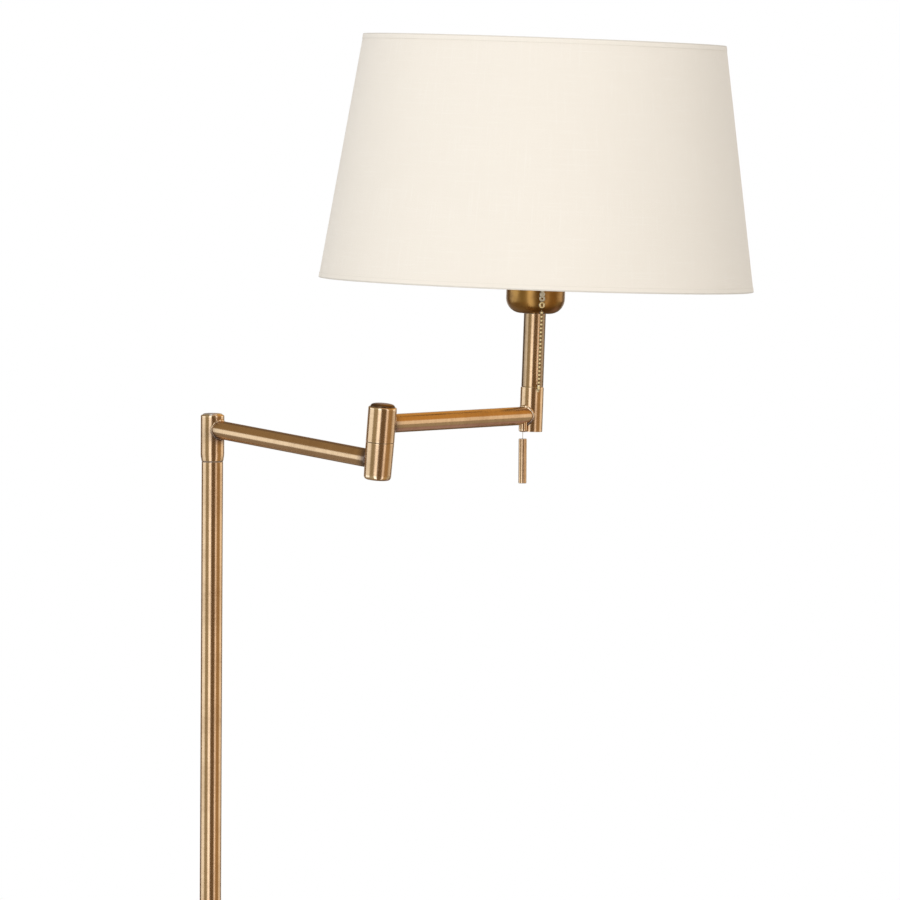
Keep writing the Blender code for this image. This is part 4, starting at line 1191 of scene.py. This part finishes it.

# Pull switch: a nylon plunger, a wire eye and a chain of brass beads that slants in to a
# thin nylon line. The line enters the sleeve through a small hole, passes down inside and
# leaves by the guide, where a turned brass bar hangs on it.
# Its strong edge shade is painted shade on each bead's sides, round a bright middle.
bright_brass = brass(
    "bright_brass", "brushed_brass", fresh=(0.93, 0.73, 0.36), dull=(0.74, 0.50, 0.20),
    burnt=(0.30, 0.18, 0.08), rubbed=(0.98, 0.86, 0.60), gloss=0.22, patches=300.0, amount=0.3,
    fineness=3000.0, edge_shade=0.8, Metallic=0.4, Coat_Weight=0.5, Coat_Roughness=0.1,
)
yellowed_nylon = grained(
    "yellowed_nylon", "white_nylon", light=(0.60, 0.52, 0.37), dark=(0.36, 0.29, 0.18), grains=700.0,
    contrast=0.8, strength=0.1, depth=0.00004, gloss=0.3,
)
stub_low = 0.1080
stub_radius = 0.0016
stub_place = head @ shift(pull_x, -pull_front)
loop_radius = 0.0018
loop_cord = 0.0010
stub_neck = stub_low + 2 * loop_radius
stub_outline = [
    (0, stub_neck), (0.0012, stub_neck, 0.0003), (0.0024, stub_neck + 0.0008, 0.0006),
    (0.0024, stub_neck + 0.0032, 0.0006), (stub_radius, stub_neck + 0.0040),
    (stub_radius, switch_high - 0.0010), (0, switch_high - 0.0010),
]
turned("switch_plunger", stub_outline, stub_place, "switch_pull", yellowed_nylon, "pull_stub", sides=32)
loop_place = stub_place @ shift(z=stub_low + loop_radius) @ turn(math.pi / 2, "X")
loop_outline = arc(loop_radius, 0, loop_cord, *round_wire)
turned("plunger_loop", loop_outline, loop_place, "switch_pull", yellowed_nylon, sides=48)
eye_height = 0.1038
eye_radius = 0.0022
eye_wire = 0.0010
eye_place = stub_place @ shift(z=eye_height) @ turn(math.radians(30), "Z") @ turn(math.pi / 2, "X")
eye_outline = arc(eye_radius, 0, eye_wire, *round_wire)
turned("wire_eye", eye_outline, eye_place, "switch_pull", bright_brass, "chain_clasp", sides=48)
chain_start = Vector((pull_x, -0.0132, 0.0295))
chain_stop = Vector((pull_x, -pull_front, 0.0985))
chain_run = chain_stop - chain_start
chain_place = head @ stand_at(chain_start, chain_run, (1, 0, 0))
bead_radius = 0.0016
link_radius = 0.0004
bead_count = 19
pitch = chain_run.length / bead_count
bead_reach = math.degrees(math.acos(link_radius / bead_radius))
chain_outline = [(0, 0)]
for bead in range(bead_count):
    chain_outline += arc(0, (bead + 0.5) * pitch, bead_radius, -bead_reach, bead_reach, 14)
chain_outline.append((0, chain_run.length + 0.0026))


def chain_grime_and_shade(point):
    """Darker in the hollows between the beads: grime that fingers don't reach, and painted shade."""
    return min(max(1.5 - 1.6 * point.xy.length / bead_radius, 0.0), 1.0)


turned(
    "bead_chain", chain_outline, chain_place, "switch_pull", bright_brass, "pull_chain",
    sides=28, darkening=chain_grime_and_shade,
)
stop_length = 0.0048
stop_outline = plain_ring(0, bead_radius, -stop_length, -0.0002, 0.0006)
turned("chain_stop", stop_outline, chain_place, "switch_pull", bright_brass, "chain_end", sides=32)


def line(name, points, radius, place):
    """A thin round line along a smooth curve that meets each of its points."""
    curve = bpy.data.curves.new(name, "CURVE")
    curve.dimensions = "3D"
    curve.bevel_depth = radius
    curve.bevel_resolution = 3
    curve.use_fill_caps = True
    curve.resolution_u = 8
    spline = curve.splines.new("BEZIER")
    spline.bezier_points.add(len(points) - 1)
    for knot, point in zip(spline.bezier_points, points):
        knot.co = point
        knot.handle_left_type = "AUTO"
        knot.handle_right_type = "AUTO"
    holder = bpy.data.objects.new(name, curve)
    mesh = bpy.data.meshes.new_from_object(holder)
    bpy.data.objects.remove(holder)
    mesh.shade_smooth()
    mesh.transform(place)
    piece = bpy.data.objects.new(name, mesh)
    bpy.context.scene.collection.objects.link(piece)
    mesh.materials.append(yellowed_nylon)
    return piece


line_radius = 0.00028
hole_height = 0.0235
hole_way = Vector((0.0054, -0.0099, 0)).normalized()
line_start = head.inverted() @ chain_place @ up(-stop_length + 0.0004)
hole_mouth = hole_way * 0.0113 + up(hole_height + 0.0004)
pull_points = [
    line_start, hole_mouth, hole_way * 0.0098 + up(hole_height),
    hole_way * 0.0070 + up(hole_height - 0.0003),
    hole_way * 0.0048 + up(hole_height - 0.0030), Vector((0.0005, -0.0040, 0.0080)),
    Vector((-0.0040, -0.0076, 0.0010)), Vector((guide_x + 0.0003, guide_y + 0.0005, -0.0035)),
]
pull_line = line("pull_line", pull_points, line_radius, head)
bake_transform(pull_line)
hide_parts("pull_thread")
eyelet_outline = plain_ring(0.0006, 0.0014, 0.0, 0.0006, 0.0003)
towards_hole = head @ shift(*(hole_way * (socket_radius - 0.0002) + up(hole_height)))
eyelet_place = stand_at(towards_hole.translation, head.to_3x3() @ hole_way, head_axis)
turned("line_eyelet", eyelet_outline, eyelet_place, "upper_arm", bright_brass, sides=32)

pull_hang = Matrix.Translation(joints["bar_swing"]["pos_m"])
pull_drop = 0.0063
bar_radius = 0.0038
bar_length = 0.0415
bar_hole = 0.0007
hidden_line = 0.0062
tail_points = [
    pull_hang.to_3x3() @ head_axis * hidden_line, up(0), up(-pull_drop / 2),
    up(-pull_drop - 0.006),
]
bar_line = line("bar_line", tail_points, line_radius, pull_hang)
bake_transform(bar_line)
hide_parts("thread_tail")
bar_low = -pull_drop - bar_length
bar_outline = [
    (0, bar_low), (bar_radius, bar_low, 0.0006), (bar_radius, -pull_drop, 0.0006),
    (bar_hole, -pull_drop, 0.0002), (bar_hole, -pull_drop - 0.0070), (0, -pull_drop - 0.0070),
]
turned("pull_weight", bar_outline, pull_hang, "hanging_bar", bronzed_brass, "pull_bar", sides=64)
